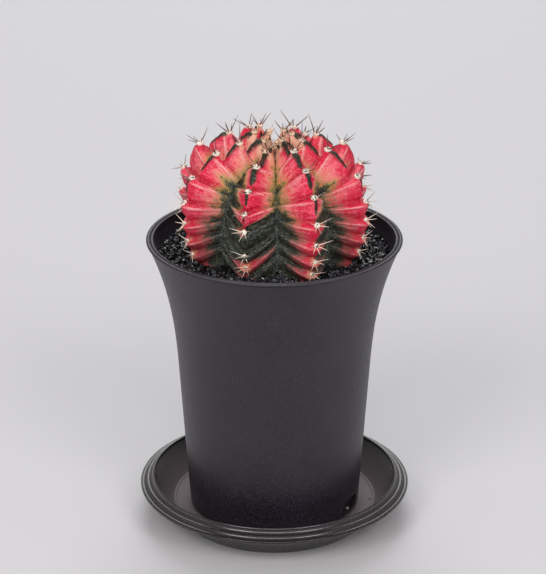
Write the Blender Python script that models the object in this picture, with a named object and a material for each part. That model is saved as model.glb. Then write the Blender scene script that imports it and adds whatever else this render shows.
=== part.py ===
"""Potted cactus: a ribbed, spiny cactus on its own root, in black grit, in a tall flared pot on a saucer.

Run it with blender --background --python part.py, or from Blender's text editor. Units are metres and
+Z is up. The origin is the centre of the saucer's foot, on the surface that the saucer stands on.
Azimuths are in degrees round Z: 0 faces the front (-Y) and 90 faces the right (+X).
"""

import bisect
import math
import random

import bmesh
import bpy
from mathutils import Matrix, Vector

MM = 0.001
GAP = 0.3 * MM  # clearance between pieces that touch
MERGE = 0.001 * MM
SEGMENTS = 48  # facets round each turned piece
SHARP_ANGLE = math.radians(35.0)

# Saucer: a round tray on a foot ring, with a rolled rim of two beads.
SAUCER_FOOT_R = 34.9 * MM
SAUCER_FOOT_WIDTH = 2.2 * MM
SAUCER_FOOT_HEIGHT = 2.8 * MM
SAUCER_FLOOR_Z = 4.8 * MM
SAUCER_FLOOR_R = 37.2 * MM
SAUCER_WALL = 1.7 * MM
SAUCER_MOUTH_R = 44.1 * MM
SAUCER_MOUTH_Z = 15.0 * MM
SAUCER_RIM_R = 49.0 * MM
SAUCER_RIM_Z = 11.9 * MM
SAUCER_RIM_EDGE = 0.8 * MM
SAUCER_BEAD = 0.35 * MM
BEAD_SHARES = ((0.74, 1.0), (0.5, 0.0), (0.26, 1.0))  # (share of the rim's slope, share of the bead)

# Pot: a nearly straight wall that flares to a lip, on a raised floor with a drain hole.
POT_BASE_Z = SAUCER_FLOOR_Z + GAP
POT_FOOT_R = 30.8 * MM
POT_FOOT_WIDTH = 3.0 * MM
POT_CORNER = 0.9 * MM
POT_TAPER = 0.066
POT_FLARE_Z = 59.6 * MM
POT_FLARE = 7.44 * MM
POT_FLARE_POWER = 2.46
POT_WALL = 1.6 * MM
POT_FLOOR_LIFT = 1.5 * MM
POT_FLOOR_Z = POT_BASE_Z + POT_FLOOR_LIFT + POT_WALL
POT_TOP_Z = 107.0 * MM
POT_RIM_R = 45.0 * MM
POT_LIP_WIDTH = 2.6 * MM
POT_LIP_DROP = 2.6 * MM
POT_LIP_ROUND = 0.4 * MM
DRAIN_HOLE_R = 5.0 * MM
FLARE_STEPS = 5

# Drain slots: two shouldered openings, opposite each other, where the wall meets the floor.
SLOT_AZIMUTHS = (62.5, 242.5)
SLOT_WIDTH = 11.0 * MM
SLOT_TOP_Z = 11.2 * MM
SLOT_SHOULDER = 2.4 * MM
SLOT_INNER_R = 28.2 * MM
SLOT_DEPTH = 7.0 * MM

# Grit: fills the pot, with a grainy top and a plain pocket for the buried part of the plant.
SOIL_Z = 100.5 * MM
SOIL_RINGS = 5
GRAIN_HEIGHT = 0.8 * MM
GRAIN_SHIFT = 0.6 * MM
POCKET_GAP = 0.9 * MM

# Ribs: azimuth, depth as a share of the nominal one, how far (mm) the folds climb on their way to the
# furrows, and each areole's distance (mm) from the crown along the crest.
RIBS = (
    (-67.5, 0.95, 1.5, (2.0, 6.5, 15.0, 23.5, 35.0, 44.0, 51.5, 58.0, 63.5)),
    (-20.0, 0.58, 3.5, (4.5, 10.5, 20.5, 32.5, 42.0, 49.5, 59.5, 64.5)),
    (24.0, 1.1, 0.5, (3.5, 9.5, 18.0, 27.5, 36.5, 45.0, 52.0, 58.0, 63.5)),
    (67.5, 1.0, 0.5, (4.5, 12.5, 21.5, 34.5, 43.5, 50.0, 56.5, 62.0)),
    (112.5, 1.0, 1.0, (3.5, 9.0, 17.5, 28.0, 38.5, 47.0, 53.5, 59.0, 64.0)),
    (157.5, 0.95, 1.0, (4.0, 10.5, 19.5, 30.5, 41.0, 49.0, 55.5, 61.5)),
    (202.5, 1.05, 1.5, (2.5, 7.5, 15.5, 25.5, 36.0, 45.5, 53.0, 58.5, 64.0)),
    (249.0, 1.1, 1.0, (4.0, 10.0, 18.5, 29.5, 40.0, 47.5, 54.0, 59.5, 64.5)),
)

# Cactus body: crest and furrow are meridians, superellipses round the axis.
CREST = {"radius": 33.4 * MM, "mid": 120.0 * MM, "top": 22.4 * MM, "bottom": 29.3 * MM, "power": 2.5}
FURROW = {"radius": 25.8 * MM, "mid": 110.0 * MM, "top": 27.2 * MM, "bottom": 26.0 * MM, "power": 2.2}
CROWN_Z = FURROW["mid"] + FURROW["top"]
CROWN_DIMPLE_R = 3.3 * MM
KNOT = Vector((14.0, 122.0)) * MM  # (radius, height) that the folds of the flanks point to
CREST_ROUNDING = 0.16
CREST_STEP = math.radians(0.2)
HALVINGS = 40
FLANK_SHARES = (-0.64, -0.28, 0.0, 0.28, 0.64, 1.0)  # columns of one rib, from its crest (0) to a furrow (1)
ROW_STEP = 2.1 * MM
BODY_END_Z = 96.5 * MM
ROOT_RINGS = ((18.0 * MM, 91.0 * MM), (10.5 * MM, 86.0 * MM), (5.5 * MM, 80.0 * MM), (2.6 * MM, 74.0 * MM))
ROOT_TIP_Z = 71.0 * MM

# Tubercles: the bumps along each crest, one at each areole. A pair holds a crown value and a base value.
BARE_ARC = 66.3 * MM  # distance from the crown at which a crest meets the grit
CROWN_SPAN = 9.0 * MM
AREOLE_MARGIN = 5.0 * MM
BUMP_HEIGHTS = (1.8 * MM, 0.8 * MM)
BUMP_PEAKS = (-0.06, 0.2)  # share of the way to the next areole at which a tubercle is highest
BUMP_NOTCHES = (0.55, 0.9)  # and at which the notch below it is deepest
BUMP_FULLNESS = 0.8

# Areoles: each a low pad with a fan of spines round it.
PAD_RINGS = ((0.75 * MM, 0.5 * MM), (1.1 * MM, -0.1 * MM), (0.75 * MM, -1.1 * MM))  # top, brow and foot
PAD_YOUNG = 0.6  # the size of the youngest pad, as a share of a grown one
PAD_GROWN_ARC = 16.0 * MM
SPINE_FANS = ((-118.0, -98.0), (-44.0, -34.0), (44.0, 34.0), (118.0, 98.0))  # degrees from down the rib
SPINE_TURN = 8.0
SPINE_HALF_FACE = math.radians(21.0)
SPINE_LENGTHS = (7.4 * MM, 4.2 * MM)
SPINE_VARIETY = (0.8, 1.0)
SPINE_LOWEST_Z = SOIL_Z + GRAIN_HEIGHT + MM  # the lowest spines bend clear of the grit
SPINE_TILTS = (38.0, 60.0)  # degrees off the areole's normal
SPINE_TILT_CHANGE = 7.0

MATERIALS = {
    "saucer": ((0.028, 0.028, 0.031), 0.42),
    "pot": ((0.040, 0.040, 0.043), 0.55),
    "soil": ((0.020, 0.019, 0.019), 0.50),
    "cactus": ((0.640, 0.085, 0.130), 0.50),
}


def clear_scene():
    """Removes every object that the file starts with."""
    for item in list(bpy.data.objects):
        bpy.data.objects.remove(item)


def make_material(name):
    """A Principled material with the sub-part's own colour and roughness."""
    color, roughness = MATERIALS[name]
    material = bpy.data.materials.new(name)
    material.use_nodes = True
    shader = material.node_tree.nodes["Principled BSDF"]
    shader.inputs["Base Color"].default_value = (*color, 1.0)
    shader.inputs["Roughness"].default_value = roughness
    shader.inputs["Metallic"].default_value = 0.0
    return material


def add_object(name, bm, collection):
    """Turns a bmesh into an object in a collection, and frees the bmesh."""
    mesh = bpy.data.meshes.new(name)
    bm.to_mesh(mesh)
    bm.free()
    item = bpy.data.objects.new(name, mesh)
    collection.objects.link(item)
    return item


def finish_node(item):
    """Gives one of the part's own pieces its material, smooth but for its sharp edges."""
    item.data.materials.append(make_material(item.name))
    item.data.shade_smooth()
    item.data.set_sharp_from_angle(angle=SHARP_ANGLE)


def polar(radius, azimuth, height):
    """The point at a radius from Z, an azimuth in degrees and a height."""
    turn = math.radians(azimuth)
    return Vector((radius * math.sin(turn), -radius * math.cos(turn), height))


def widened(points, extra):
    """The same points, each farther from Z by an extra radius."""
    return [Vector((*(point.xy * (1 + extra / point.xy.length)), point.z)) for point in points]


def spun(outline, closed):
    """Turns an outline of (radius, height) points once round Z. A closed outline makes a ring."""
    bm = bmesh.new()
    verts = [bm.verts.new((radius, 0.0, height)) for radius, height in outline]
    edges = [bm.edges.new(pair) for pair in zip(verts, verts[1:])]
    if closed:
        edges.append(bm.edges.new((verts[-1], verts[0])))
    bmesh.ops.spin(bm, geom=verts + edges, cent=(0, 0, 0), axis=(0, 0, 1),
                   angle=math.tau, steps=SEGMENTS, use_merge=True)
    bmesh.ops.remove_doubles(bm, verts=bm.verts, dist=MERGE)
    bmesh.ops.recalc_face_normals(bm, faces=bm.faces)
    return bm


def make_saucer():
    """The tray: foot ring, flat floor, sloping wall, and a beaded rim that rolls out and down."""
    ledge_r = SAUCER_FOOT_R - SAUCER_FOOT_WIDTH
    lean = Vector((SAUCER_MOUTH_R - SAUCER_FLOOR_R, SAUCER_MOUTH_Z - SAUCER_FLOOR_Z)).normalized()
    wall_low = Vector((SAUCER_FLOOR_R, SAUCER_FLOOR_Z)) + Vector((lean.y, -lean.x)) * SAUCER_WALL
    wall_high = wall_low + lean * (SAUCER_RIM_Z - SAUCER_RIM_EDGE - wall_low.y) / lean.y
    slope = Vector((SAUCER_RIM_R - SAUCER_MOUTH_R, SAUCER_RIM_Z - SAUCER_MOUTH_Z))
    outline = [(0.0, SAUCER_FOOT_HEIGHT), (ledge_r, SAUCER_FOOT_HEIGHT), (ledge_r, 0.0),
               (SAUCER_FOOT_R, 0.0), tuple(wall_low), tuple(wall_high),
               (SAUCER_RIM_R - SAUCER_BEAD, SAUCER_RIM_Z - SAUCER_RIM_EDGE), (SAUCER_RIM_R, SAUCER_RIM_Z)]
    for share, height in BEAD_SHARES:
        proud = SAUCER_BEAD * height
        outline.append((SAUCER_MOUTH_R + slope.x * share + proud, SAUCER_MOUTH_Z + slope.y * share + proud))
    outline += [(SAUCER_MOUTH_R, SAUCER_MOUTH_Z), (SAUCER_FLOOR_R, SAUCER_FLOOR_Z), (0.0, SAUCER_FLOOR_Z)]
    saucer = add_object("saucer", spun(outline, closed=False), bpy.context.scene.collection)
    finish_node(saucer)


def pot_radius(height):
    """Outer radius of the pot's wall at a height: a straight taper, then a flare."""
    flare = max(0.0, (height - POT_FLARE_Z) / (POT_TOP_Z - POT_FLARE_Z))
    return POT_FOOT_R + POT_TAPER * (height - POT_BASE_Z) + POT_FLARE * flare ** POT_FLARE_POWER


def flare_heights(top):
    """Heights at which the flaring wall bends, from the end of the straight taper to a top."""
    return [POT_FLARE_Z + (top - POT_FLARE_Z) * step / FLARE_STEPS for step in range(FLARE_STEPS + 1)]


def make_pot():
    """The pot: a ring-shaped outline from the drain hole out under the foot, over the lip and back in."""
    under_z = POT_BASE_Z + POT_FLOOR_LIFT
    foot_inner = POT_FOOT_R - POT_FOOT_WIDTH
    lip_inner = POT_RIM_R - POT_LIP_WIDTH
    heights = flare_heights(POT_TOP_Z - POT_LIP_DROP)
    outline = [(DRAIN_HOLE_R, under_z), (foot_inner - POT_FLOOR_LIFT, under_z), (foot_inner, POT_BASE_Z),
               (POT_FOOT_R - POT_CORNER, POT_BASE_Z),
               (pot_radius(POT_BASE_Z + POT_CORNER), POT_BASE_Z + POT_CORNER)]
    outline += [(pot_radius(height), height) for height in heights]
    outline += [(POT_RIM_R, POT_TOP_Z - POT_LIP_ROUND), (POT_RIM_R - POT_LIP_ROUND, POT_TOP_Z),
                (lip_inner + POT_LIP_ROUND, POT_TOP_Z), (lip_inner, POT_TOP_Z - POT_LIP_ROUND)]
    outline += [(pot_radius(height) - POT_WALL, height) for height in reversed(heights)]
    outline += [(pot_radius(POT_FLOOR_Z) - POT_WALL, POT_FLOOR_Z), (DRAIN_HOLE_R, POT_FLOOR_Z)]
    pot = add_object("pot", spun(outline, closed=True), bpy.context.scene.collection)
    finish_node(pot)
    for index, azimuth in enumerate(SLOT_AZIMUTHS):
        cut(pot, make_slot_cutter(f"slot_cutter_{index + 1}", azimuth))


def make_slot_cutter(name, azimuth):
    """A prism with a shouldered top, which cuts one drain slot through the foot and the wall."""
    half = SLOT_WIDTH / 2
    below = POT_BASE_Z - MM
    shoulder_z = SLOT_TOP_Z - SLOT_SHOULDER
    profile = [(-half, below), (half, below), (half, shoulder_z), (half - SLOT_SHOULDER, SLOT_TOP_Z),
               (SLOT_SHOULDER - half, SLOT_TOP_Z), (-half, shoulder_z)]
    bm = bmesh.new()
    face = bm.faces.new([bm.verts.new((across, -SLOT_INNER_R, height)) for across, height in profile])
    grown = bmesh.ops.extrude_face_region(bm, geom=[face])
    moved = [item for item in grown["geom"] if isinstance(item, bmesh.types.BMVert)]
    bmesh.ops.translate(bm, verts=moved, vec=(0.0, -SLOT_DEPTH, 0.0))
    bmesh.ops.recalc_face_normals(bm, faces=bm.faces)
    bmesh.ops.transform(bm, matrix=Matrix.Rotation(math.radians(azimuth), 4, "Z"), verts=bm.verts)
    return add_object(name, bm, bpy.context.scene.collection)


def cut(item, cutter):
    """Subtracts a cutter from an object, and leaves the cutter as a hidden guide."""
    cutter.hide_render = True
    cutter.display_type = "WIRE"
    modifier = item.modifiers.new(cutter.name, "BOOLEAN")
    modifier.operation = "DIFFERENCE"
    modifier.solver = "EXACT"
    modifier.object = cutter


def filled(shape, point):
    """How far out a (radius, height) point is for a meridian: under 1 inside it, 1 on it."""
    rise = point.y - shape["mid"]
    half_height = shape["top"] if rise > 0 else shape["bottom"]
    return (point.x / shape["radius"]) ** shape["power"] + (abs(rise) / half_height) ** shape["power"]


def crest_point(turn):
    """The nominal crest's (radius, height) at a turn from the crown, with the dimple at the crown."""
    bend = 2 / CREST["power"]
    radius = CREST["radius"] * math.sin(turn) ** bend
    cosine = math.cos(turn)
    half_height = CREST["top"] if cosine > 0 else -CREST["bottom"]
    dimple = CREST["mid"] + CREST["top"] - CROWN_Z
    return Vector((radius, CREST["mid"] + half_height * abs(cosine) ** bend
                   - dimple * math.exp(-((radius / CROWN_DIMPLE_R) ** 2))))


def furrow_point(crest):
    """Where the fold from a crest point to the knot meets the furrow, as a (radius, height)."""
    near, far = 0.0, 1.0
    for _ in range(HALVINGS):
        share = (near + far) / 2
        near, far = (near, share) if filled(FURROW, crest.lerp(KNOT, share)) < 1 else (share, far)
    return crest.lerp(KNOT, near)


def flank_depth(share):
    """How far a flank has sunk at a share of the way from crest to furrow: round crest, sharp furrow."""
    edge = CREST_ROUNDING
    return (math.hypot(share, edge) - edge) / (math.hypot(1.0, edge) - edge)


def aged(pair, age):
    """The value between a pair's crown value and base value at an age, 0 to 1."""
    return pair[0] + (pair[1] - pair[0]) * age


def tubercle(share, age):
    """Height of a tubercle, from -1 in its notch to 1, at a share of the way from one areole to the next."""
    peak = aged(BUMP_PEAKS, age)
    fall = aged(BUMP_NOTCHES, age) - peak
    beyond = (share - peak) % 1.0
    phase = 0.5 * beyond / fall if beyond < fall else 0.5 + 0.5 * (beyond - fall) / (1 - fall)
    return 2 * abs(math.cos(math.pi * phase)) ** BUMP_FULLNESS - 1


class RibbedBody:
    """The cactus's skin as a formula, by rib, share of the flank, and distance down from the crown."""

    def __init__(self):
        """Measures the crest from the crown down, and carries each rib's areoles on past both ends."""
        self.arcs = [0.0]
        self.turns = [0.0]
        before = crest_point(0.0)
        while before.y > BODY_END_Z:
            self.turns.append(self.turns[-1] + CREST_STEP)
            here = crest_point(self.turns[-1])
            self.arcs.append(self.arcs[-1] + (here - before).length)
            before = here
        self.areoles = [[mark * MM for mark in marks] for _, _, _, marks in RIBS]
        self.marks = [self.carried_on(arcs) for arcs in self.areoles]

    def carried_on(self, arcs):
        """One rib's areoles with more of them, evenly spaced, over the crown and under the grit."""
        marks = [2 * arcs[0] - arcs[1]] + arcs
        while marks[-1] < self.arcs[-1] + AREOLE_MARGIN:
            marks.append(2 * marks[-1] - marks[-2])
        return marks

    def crest_at(self, arc):
        """The nominal crest's (radius, height) at a distance from the crown."""
        index = min(max(bisect.bisect_left(self.arcs, arc), 1), len(self.arcs) - 1)
        low, high = self.arcs[index - 1:index + 1]
        return crest_point(self.turns[index - 1] + CREST_STEP * (arc - low) / (high - low))

    def bump(self, rib, arc):
        """How far a rib's tubercles stand out of its crest, or sink in, at a distance from the crown."""
        marks = self.marks[rib]
        index = bisect.bisect_right(marks, arc)
        age = min(1.0, arc / BARE_ARC)
        height = aged(BUMP_HEIGHTS, age) * min(1.0, arc / CROWN_SPAN)
        return height * tubercle((arc - marks[index - 1]) / (marks[index] - marks[index - 1]), age)

    def point(self, rib, share, arc):
        """A point of the skin at a share, -1 to 1, of the way from a rib's crest to a furrow beside it."""
        azimuth, depth, rise, _ = RIBS[rib]
        side = 1 if share > 0 else -1
        beside = RIBS[(rib + side) % len(RIBS)][0]
        half_pitch = (beside - azimuth) * side % 360 / 2
        nominal = self.crest_at(arc)
        furrow = furrow_point(nominal)
        crest = furrow.lerp(nominal, 1 + (depth - 1) * min(1.0, arc / CROWN_SPAN))
        place = crest.lerp(furrow, flank_depth(abs(share)))
        bump = self.bump(rib, arc + rise * MM * abs(share))
        place += (nominal - KNOT).normalized() * bump * math.sqrt(1 - abs(share))
        return polar(place.x, azimuth + half_pitch * share, place.y)

    def row(self, arc):
        """A closed row of the skin's points, at one distance from the crown."""
        return [self.point(rib, share, arc) for rib in range(len(RIBS)) for share in FLANK_SHARES]

    def rows(self):
        """The rows of the skin, evenly spaced from the crown down to where the root begins."""
        count = int(self.arcs[-1] / ROW_STEP)
        return [self.row(ROW_STEP * (index + 1)) for index in range(count)]

    def frame(self, rib, arc):
        """An areole's place on a crest, with its outward normal, its way down and its way across."""
        place = self.point(rib, 0.0, arc)
        down = (self.point(rib, 0.0, arc + ROW_STEP) - self.point(rib, 0.0, arc - ROW_STEP / 2)).normalized()
        across = polar(1.0, RIBS[rib][0] + 90.0, 0.0)
        return place, down.cross(across).normalized(), down, across


def root_rows(row):
    """The root's rings, on the same azimuths as a row of the skin."""
    ways = [point.xy.normalized() for point in row]
    return [[Vector((*(way * radius), height)) for way in ways] for radius, height in ROOT_RINGS]


def neighbours(count):
    """Each index round a ring with the next one."""
    return [(index, (index + 1) % count) for index in range(count)]


def bridge(bm, upper, lower):
    """Joins two rings of as many verts with quads."""
    for left, right in neighbours(len(upper)):
        bm.faces.new((upper[left], lower[left], lower[right], upper[right]))


def bridge_finer(bm, fine, coarse):
    """Joins a ring to one with half as many verts."""
    for left, right in neighbours(len(coarse)):
        bm.faces.new((fine[2 * left], coarse[left], coarse[right], fine[2 * right], fine[2 * left + 1]))


def fan(bm, ring, point):
    """Closes a ring with triangles to a point."""
    end = bm.verts.new(point)
    for left, right in neighbours(len(ring)):
        bm.faces.new((end, ring[left], ring[right]))


def make_skin(body):
    """The cactus's body and root as one closed mesh."""
    bm = bmesh.new()
    rows = body.rows()
    rings = [[bm.verts.new(point) for point in row] for row in rows + root_rows(rows[-1])]
    for upper, lower in zip(rings, rings[1:]):
        bridge(bm, upper, lower)
    fan(bm, rings[0], (0.0, 0.0, CROWN_Z))
    fan(bm, rings[-1], (0.0, 0.0, ROOT_TIP_Z))
    bmesh.ops.recalc_face_normals(bm, faces=bm.faces)
    bmesh.ops.triangulate(bm, faces=bm.faces)
    return bm


def spine_tip(draw, root, frame, turn, age):
    """Where a spine from an areole ends: long and steep on the shoulder, short and flat at the base."""
    _, normal, down, across = frame
    tilt = math.radians(aged(SPINE_TILTS, age) + draw.uniform(-SPINE_TILT_CHANGE, SPINE_TILT_CHANGE))
    length = aged(SPINE_LENGTHS, age) * draw.uniform(*SPINE_VARIETY)
    lean = down * math.cos(turn) + across * math.sin(turn)
    tip = root + (normal * math.cos(tilt) + lean * math.sin(tilt)) * length
    tip.z = max(tip.z, SPINE_LOWEST_Z)
    return tip


def make_areole(name, body, rib, arc, collection):
    """An areole: a low pad sunk in the crest, whose sides draw out to a fan of pointed spines."""
    draw = random.Random(name)
    frame = body.frame(rib, arc)
    place, normal, down, across = frame
    age = min(1.0, arc / BARE_ARC)
    size = min(1.0, PAD_YOUNG + (1 - PAD_YOUNG) * arc / PAD_GROWN_ARC)
    turns = [math.radians(aged(pair, age) + draw.uniform(-SPINE_TURN, SPINE_TURN)) for pair in SPINE_FANS]
    corners = [turn + side for turn in turns for side in (-SPINE_HALF_FACE, SPINE_HALF_FACE)]
    bm = bmesh.new()
    ways = [down * math.cos(turn) + across * math.sin(turn) for turn in corners]
    rings = [[bm.verts.new(place + normal * height + way * radius * size) for way in ways]
             for radius, height in PAD_RINGS]
    top, brow, foot = rings
    bm.faces.new(top)
    bm.faces.new(foot)
    bridge(bm, brow, foot)
    for left, right in neighbours(len(corners)):
        side = (top[left], brow[left], brow[right], top[right])
        if left % 2:
            bm.faces.new(side)
            continue
        root = sum((vert.co for vert in side), Vector()) / len(side)
        tip = bm.verts.new(spine_tip(draw, root, frame, turns[left // 2], age))
        for near, far in neighbours(len(side)):
            bm.faces.new((side[near], side[far], tip))
    bmesh.ops.recalc_face_normals(bm, faces=bm.faces)
    bmesh.ops.triangulate(bm, faces=bm.faces)
    add_object(name, bm, collection)


def unite(item, collection):
    """Fuses a collection's objects into an object, then removes them."""
    modifier = item.modifiers.new("fuse", "BOOLEAN")
    modifier.operation = "UNION"
    modifier.solver = "EXACT"
    modifier.operand_type = "COLLECTION"
    modifier.collection = collection
    bpy.context.view_layer.update()
    evaluated = item.evaluated_get(bpy.context.evaluated_depsgraph_get())
    fused = bpy.data.meshes.new_from_object(evaluated)
    item.modifiers.clear()
    item.data = fused
    for part in list(collection.objects):
        bpy.data.objects.remove(part)
    bpy.data.collections.remove(collection)


def make_cactus(body):
    """The plant: body and root, with every areole's pad and spines fused to its crests."""
    cactus = add_object("cactus", make_skin(body), bpy.context.scene.collection)
    growths = bpy.data.collections.new("growths")
    bpy.context.scene.collection.children.link(growths)
    for rib, arcs in enumerate(body.areoles):
        for index, arc in enumerate(arcs):
            make_areole(f"areole_{rib + 1}_{index + 1}", body, rib, arc, growths)
    unite(cactus, growths)
    finish_node(cactus)


def pocket_rows(body):
    """The pocket in the grit: the buried rows of the plant, each a little wider."""
    rows = body.rows()
    buried = [row for row in rows if min(point.z for point in row) < SOIL_Z]
    mouth = [Vector((point.x, point.y, SOIL_Z)) for point in rows[len(rows) - len(buried) - 1]]
    return [widened(row, POCKET_GAP) for row in [mouth] + buried + root_rows(rows[-1])]


def doubled(row):
    """A row with a point added halfway to each next one."""
    pairs = [(row[left], row[right]) for left, right in neighbours(len(row))]
    return [point for left, right in pairs for point in (left, (left + right) / 2)]


def make_soil(body):
    """The grit: a plug that fits the pot, with a relief of grains on top and a pocket for the plant."""
    draw = random.Random("grit")
    facet = math.cos(math.pi / SEGMENTS)
    pocket = pocket_rows(body)
    wall_r = (pot_radius(SOIL_Z) - POT_WALL) * facet - GAP
    bm = bmesh.new()
    top = []
    for ring in range(SOIL_RINGS + 1):
        share = ring / SOIL_RINGS
        loose = 0 < ring < SOIL_RINGS
        verts = []
        for inner in doubled(pocket[0]):
            outer = inner.xy.normalized() * wall_r
            shift = Vector((draw.uniform(-1, 1), draw.uniform(-1, 1))) * GRAIN_SHIFT * loose
            rise = draw.uniform(-1, 1) * GRAIN_HEIGHT * loose
            verts.append(bm.verts.new((*(inner.xy.lerp(outer, share) + shift), SOIL_Z + rise)))
        top.append(verts)
    for inner, outer in zip(top, top[1:]):
        bridge(bm, outer, inner)
    hole = [[bm.verts.new(point) for point in row] for row in pocket[1:]]
    bridge_finer(bm, top[0], hole[0])
    for upper, lower in zip(hole, hole[1:]):
        bridge(bm, upper, lower)
    fan(bm, hole[-1], (0.0, 0.0, ROOT_TIP_Z - POCKET_GAP))
    side = []
    for height in [*reversed(flare_heights(POT_TOP_Z - POT_LIP_DROP)), POT_FLOOR_Z + GAP]:
        if height < SOIL_Z - MM:
            radius = (pot_radius(height) - POT_WALL) * facet - GAP
            side.append([bm.verts.new((*(point.xy.normalized() * radius), height)) for point in pocket[0]])
    bridge_finer(bm, top[-1], side[0])
    for upper, lower in zip(side, side[1:]):
        bridge(bm, upper, lower)
    fan(bm, side[-1], (0.0, 0.0, POT_FLOOR_Z + GAP))
    bmesh.ops.recalc_face_normals(bm, faces=bm.faces)
    soil = add_object("soil", bm, bpy.context.scene.collection)
    finish_node(soil)


def main():
    """Builds the four pieces: saucer, pot, grit and plant."""
    clear_scene()
    body = RibbedBody()
    make_saucer()
    make_pot()
    make_soil(body)
    make_cactus(body)


main()
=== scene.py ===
"""Potted cactus, dressed for its looks: skin, wool, spines, grit and plastic round the solids.

Lengths are metres and +Z is up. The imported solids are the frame: places come from their boxes.
Azimuths are degrees round Z, where 0 faces the front (-Y) and 90 faces the right (+X).
"""

import logging
import math
import random
from contextlib import contextmanager
from dataclasses import dataclass, field
from enum import Enum
from typing import Iterator, Optional, Sequence

import bmesh
import bpy
import numpy as np
from mathutils import Matrix, Vector
from mathutils.bvhtree import BVHTree


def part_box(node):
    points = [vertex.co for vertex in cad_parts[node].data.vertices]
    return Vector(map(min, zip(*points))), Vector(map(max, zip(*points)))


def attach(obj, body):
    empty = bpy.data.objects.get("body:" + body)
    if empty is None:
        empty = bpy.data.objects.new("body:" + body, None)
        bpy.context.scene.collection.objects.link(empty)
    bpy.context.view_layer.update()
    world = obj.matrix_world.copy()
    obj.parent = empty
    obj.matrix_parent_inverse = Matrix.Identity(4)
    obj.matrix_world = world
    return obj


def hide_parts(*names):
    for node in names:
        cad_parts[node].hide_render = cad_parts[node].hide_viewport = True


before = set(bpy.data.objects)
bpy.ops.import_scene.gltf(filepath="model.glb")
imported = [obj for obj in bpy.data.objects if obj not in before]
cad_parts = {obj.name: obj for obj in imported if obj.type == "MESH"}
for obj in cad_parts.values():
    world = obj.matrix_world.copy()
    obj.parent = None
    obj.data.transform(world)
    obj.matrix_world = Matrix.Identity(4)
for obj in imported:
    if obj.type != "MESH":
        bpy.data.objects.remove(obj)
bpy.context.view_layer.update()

LOG = logging.getLogger("potted_cactus")
MM = 0.001
MERGE = 0.002 * MM  # points nearer than this are one
BODY = "root"
FINE_TURN = 192  # facets round each turned piece
PER_MM = 1000.0  # pattern scale of one cell per millimetre
ORIGIN = (0.0, 0.0, 0.0)

Point = tuple[float, float]  # (radius, height)
Triple = tuple[float, float, float]
Color = tuple[float, float, float, float]
Piece = bpy.types.Object
Material = bpy.types.Material


class Slot(Enum):
    """The record's material slots."""

    SAUCER = "saucer_plastic"
    POT = "pot_plastic"
    GRIT = "grit"
    PLANT = "plant"


# ---------------------------------------------------------------- modelling helpers


def deselect() -> None:
    """Leaves every object unselected, in object mode."""
    if bpy.context.object and bpy.context.object.mode != "OBJECT":
        bpy.ops.object.mode_set(mode="OBJECT")
    bpy.ops.object.select_all(action="DESELECT")


def named(name: str) -> Piece:
    """Names the object that was just added.

    Args:
        name: the piece's name.

    Returns:
        The active object.
    """
    item = bpy.context.object
    item.name = name
    item.data.name = name
    return item


def pick(item: Piece) -> None:
    """Makes an object the only one selected, and active.

    Args:
        item: the object.
    """
    deselect()
    item.select_set(True)
    bpy.context.view_layer.objects.active = item


@contextmanager
def editing(item: Piece) -> Iterator[None]:
    """Opens a piece in edit mode, all selected, and leaves that mode afterwards.

    Args:
        item: the piece to shape.

    Yields:
        Nothing; the shaping is done inside.
    """
    pick(item)
    bpy.ops.object.mode_set(mode="EDIT")
    bpy.ops.mesh.select_all(action="SELECT")
    yield
    bpy.ops.object.mode_set(mode="OBJECT")


def close_up(merge: float = MERGE) -> None:
    """Merges the doubles of the mesh in edit mode and turns its faces outward.

    Args:
        merge: points nearer than this are one.
    """
    bpy.ops.mesh.select_all(action="SELECT")
    bpy.ops.mesh.remove_doubles(threshold=merge)
    bpy.ops.mesh.normals_make_consistent(inside=False)


def settle(item: Piece, crease: float) -> None:
    """Applies an object's place to its mesh and shades it smooth but for its sharp edges.

    Args:
        item: the finished piece.
        crease: edges sharper than this many degrees stay crisp.
    """
    pick(item)
    bpy.ops.object.transform_apply(location=True, rotation=True, scale=True)
    bpy.ops.object.shade_smooth_by_angle(angle=math.radians(crease))


def turned(name: str, outline: Sequence[Point], closed: bool = False,
           steps: int = FINE_TURN) -> Piece:
    """Draws an outline point by point and spins it once round Z.

    Args:
        name: the piece's name.
        outline: (radius, height) points.
        closed: whether the last point joins the first, as on a ring-shaped outline.
        steps: facets round the piece.

    Returns:
        The turned object, with its normals outward.
    """
    deselect()
    bpy.ops.mesh.primitive_plane_add(size=MM)
    item = named(name)
    with editing(item):
        bpy.ops.mesh.merge(type="CENTER")
        bpy.ops.transform.translate(value=(outline[0][0], 0.0, outline[0][1]))
        for here, there in zip(outline, outline[1:]):
            step = (there[0] - here[0], 0.0, there[1] - here[1])
            bpy.ops.mesh.extrude_vertices_move(TRANSFORM_OT_translate={"value": step})
        bpy.ops.mesh.select_all(action="SELECT")
        if closed:
            bm = bmesh.from_edit_mesh(item.data)
            bm.verts.ensure_lookup_table()
            bm.edges.new((bm.verts[0], bm.verts[len(bm.verts) - 1])).select = True
            bmesh.update_edit_mesh(item.data)
        bpy.ops.mesh.spin(steps=steps, angle=math.tau, center=ORIGIN, axis=(0.0, 0.0, 1.0))
        close_up()
    return item


def stepped(base: Point, *steps: Point) -> list[Point]:
    """Points at (outward, upward) distances in mm from a base point."""
    return [(base[0] + out * MM, base[1] + up * MM) for out, up in steps]


def arc_points(centre: Point, radius: float, start: float, end: float, count: int) -> list[Point]:
    """Points on an arc in the (radius, height) plane.

    Args:
        centre: the arc's centre.
        radius: its radius.
        start: first angle in degrees, from the outward direction towards up.
        end: last angle in degrees.
        count: number of points.

    Returns:
        The points, first to last.
    """
    turns = [math.radians(start + (end - start) * index / (count - 1)) for index in range(count)]
    return [(centre[0] + radius * math.cos(turn), centre[1] + radius * math.sin(turn))
            for turn in turns]


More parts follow.
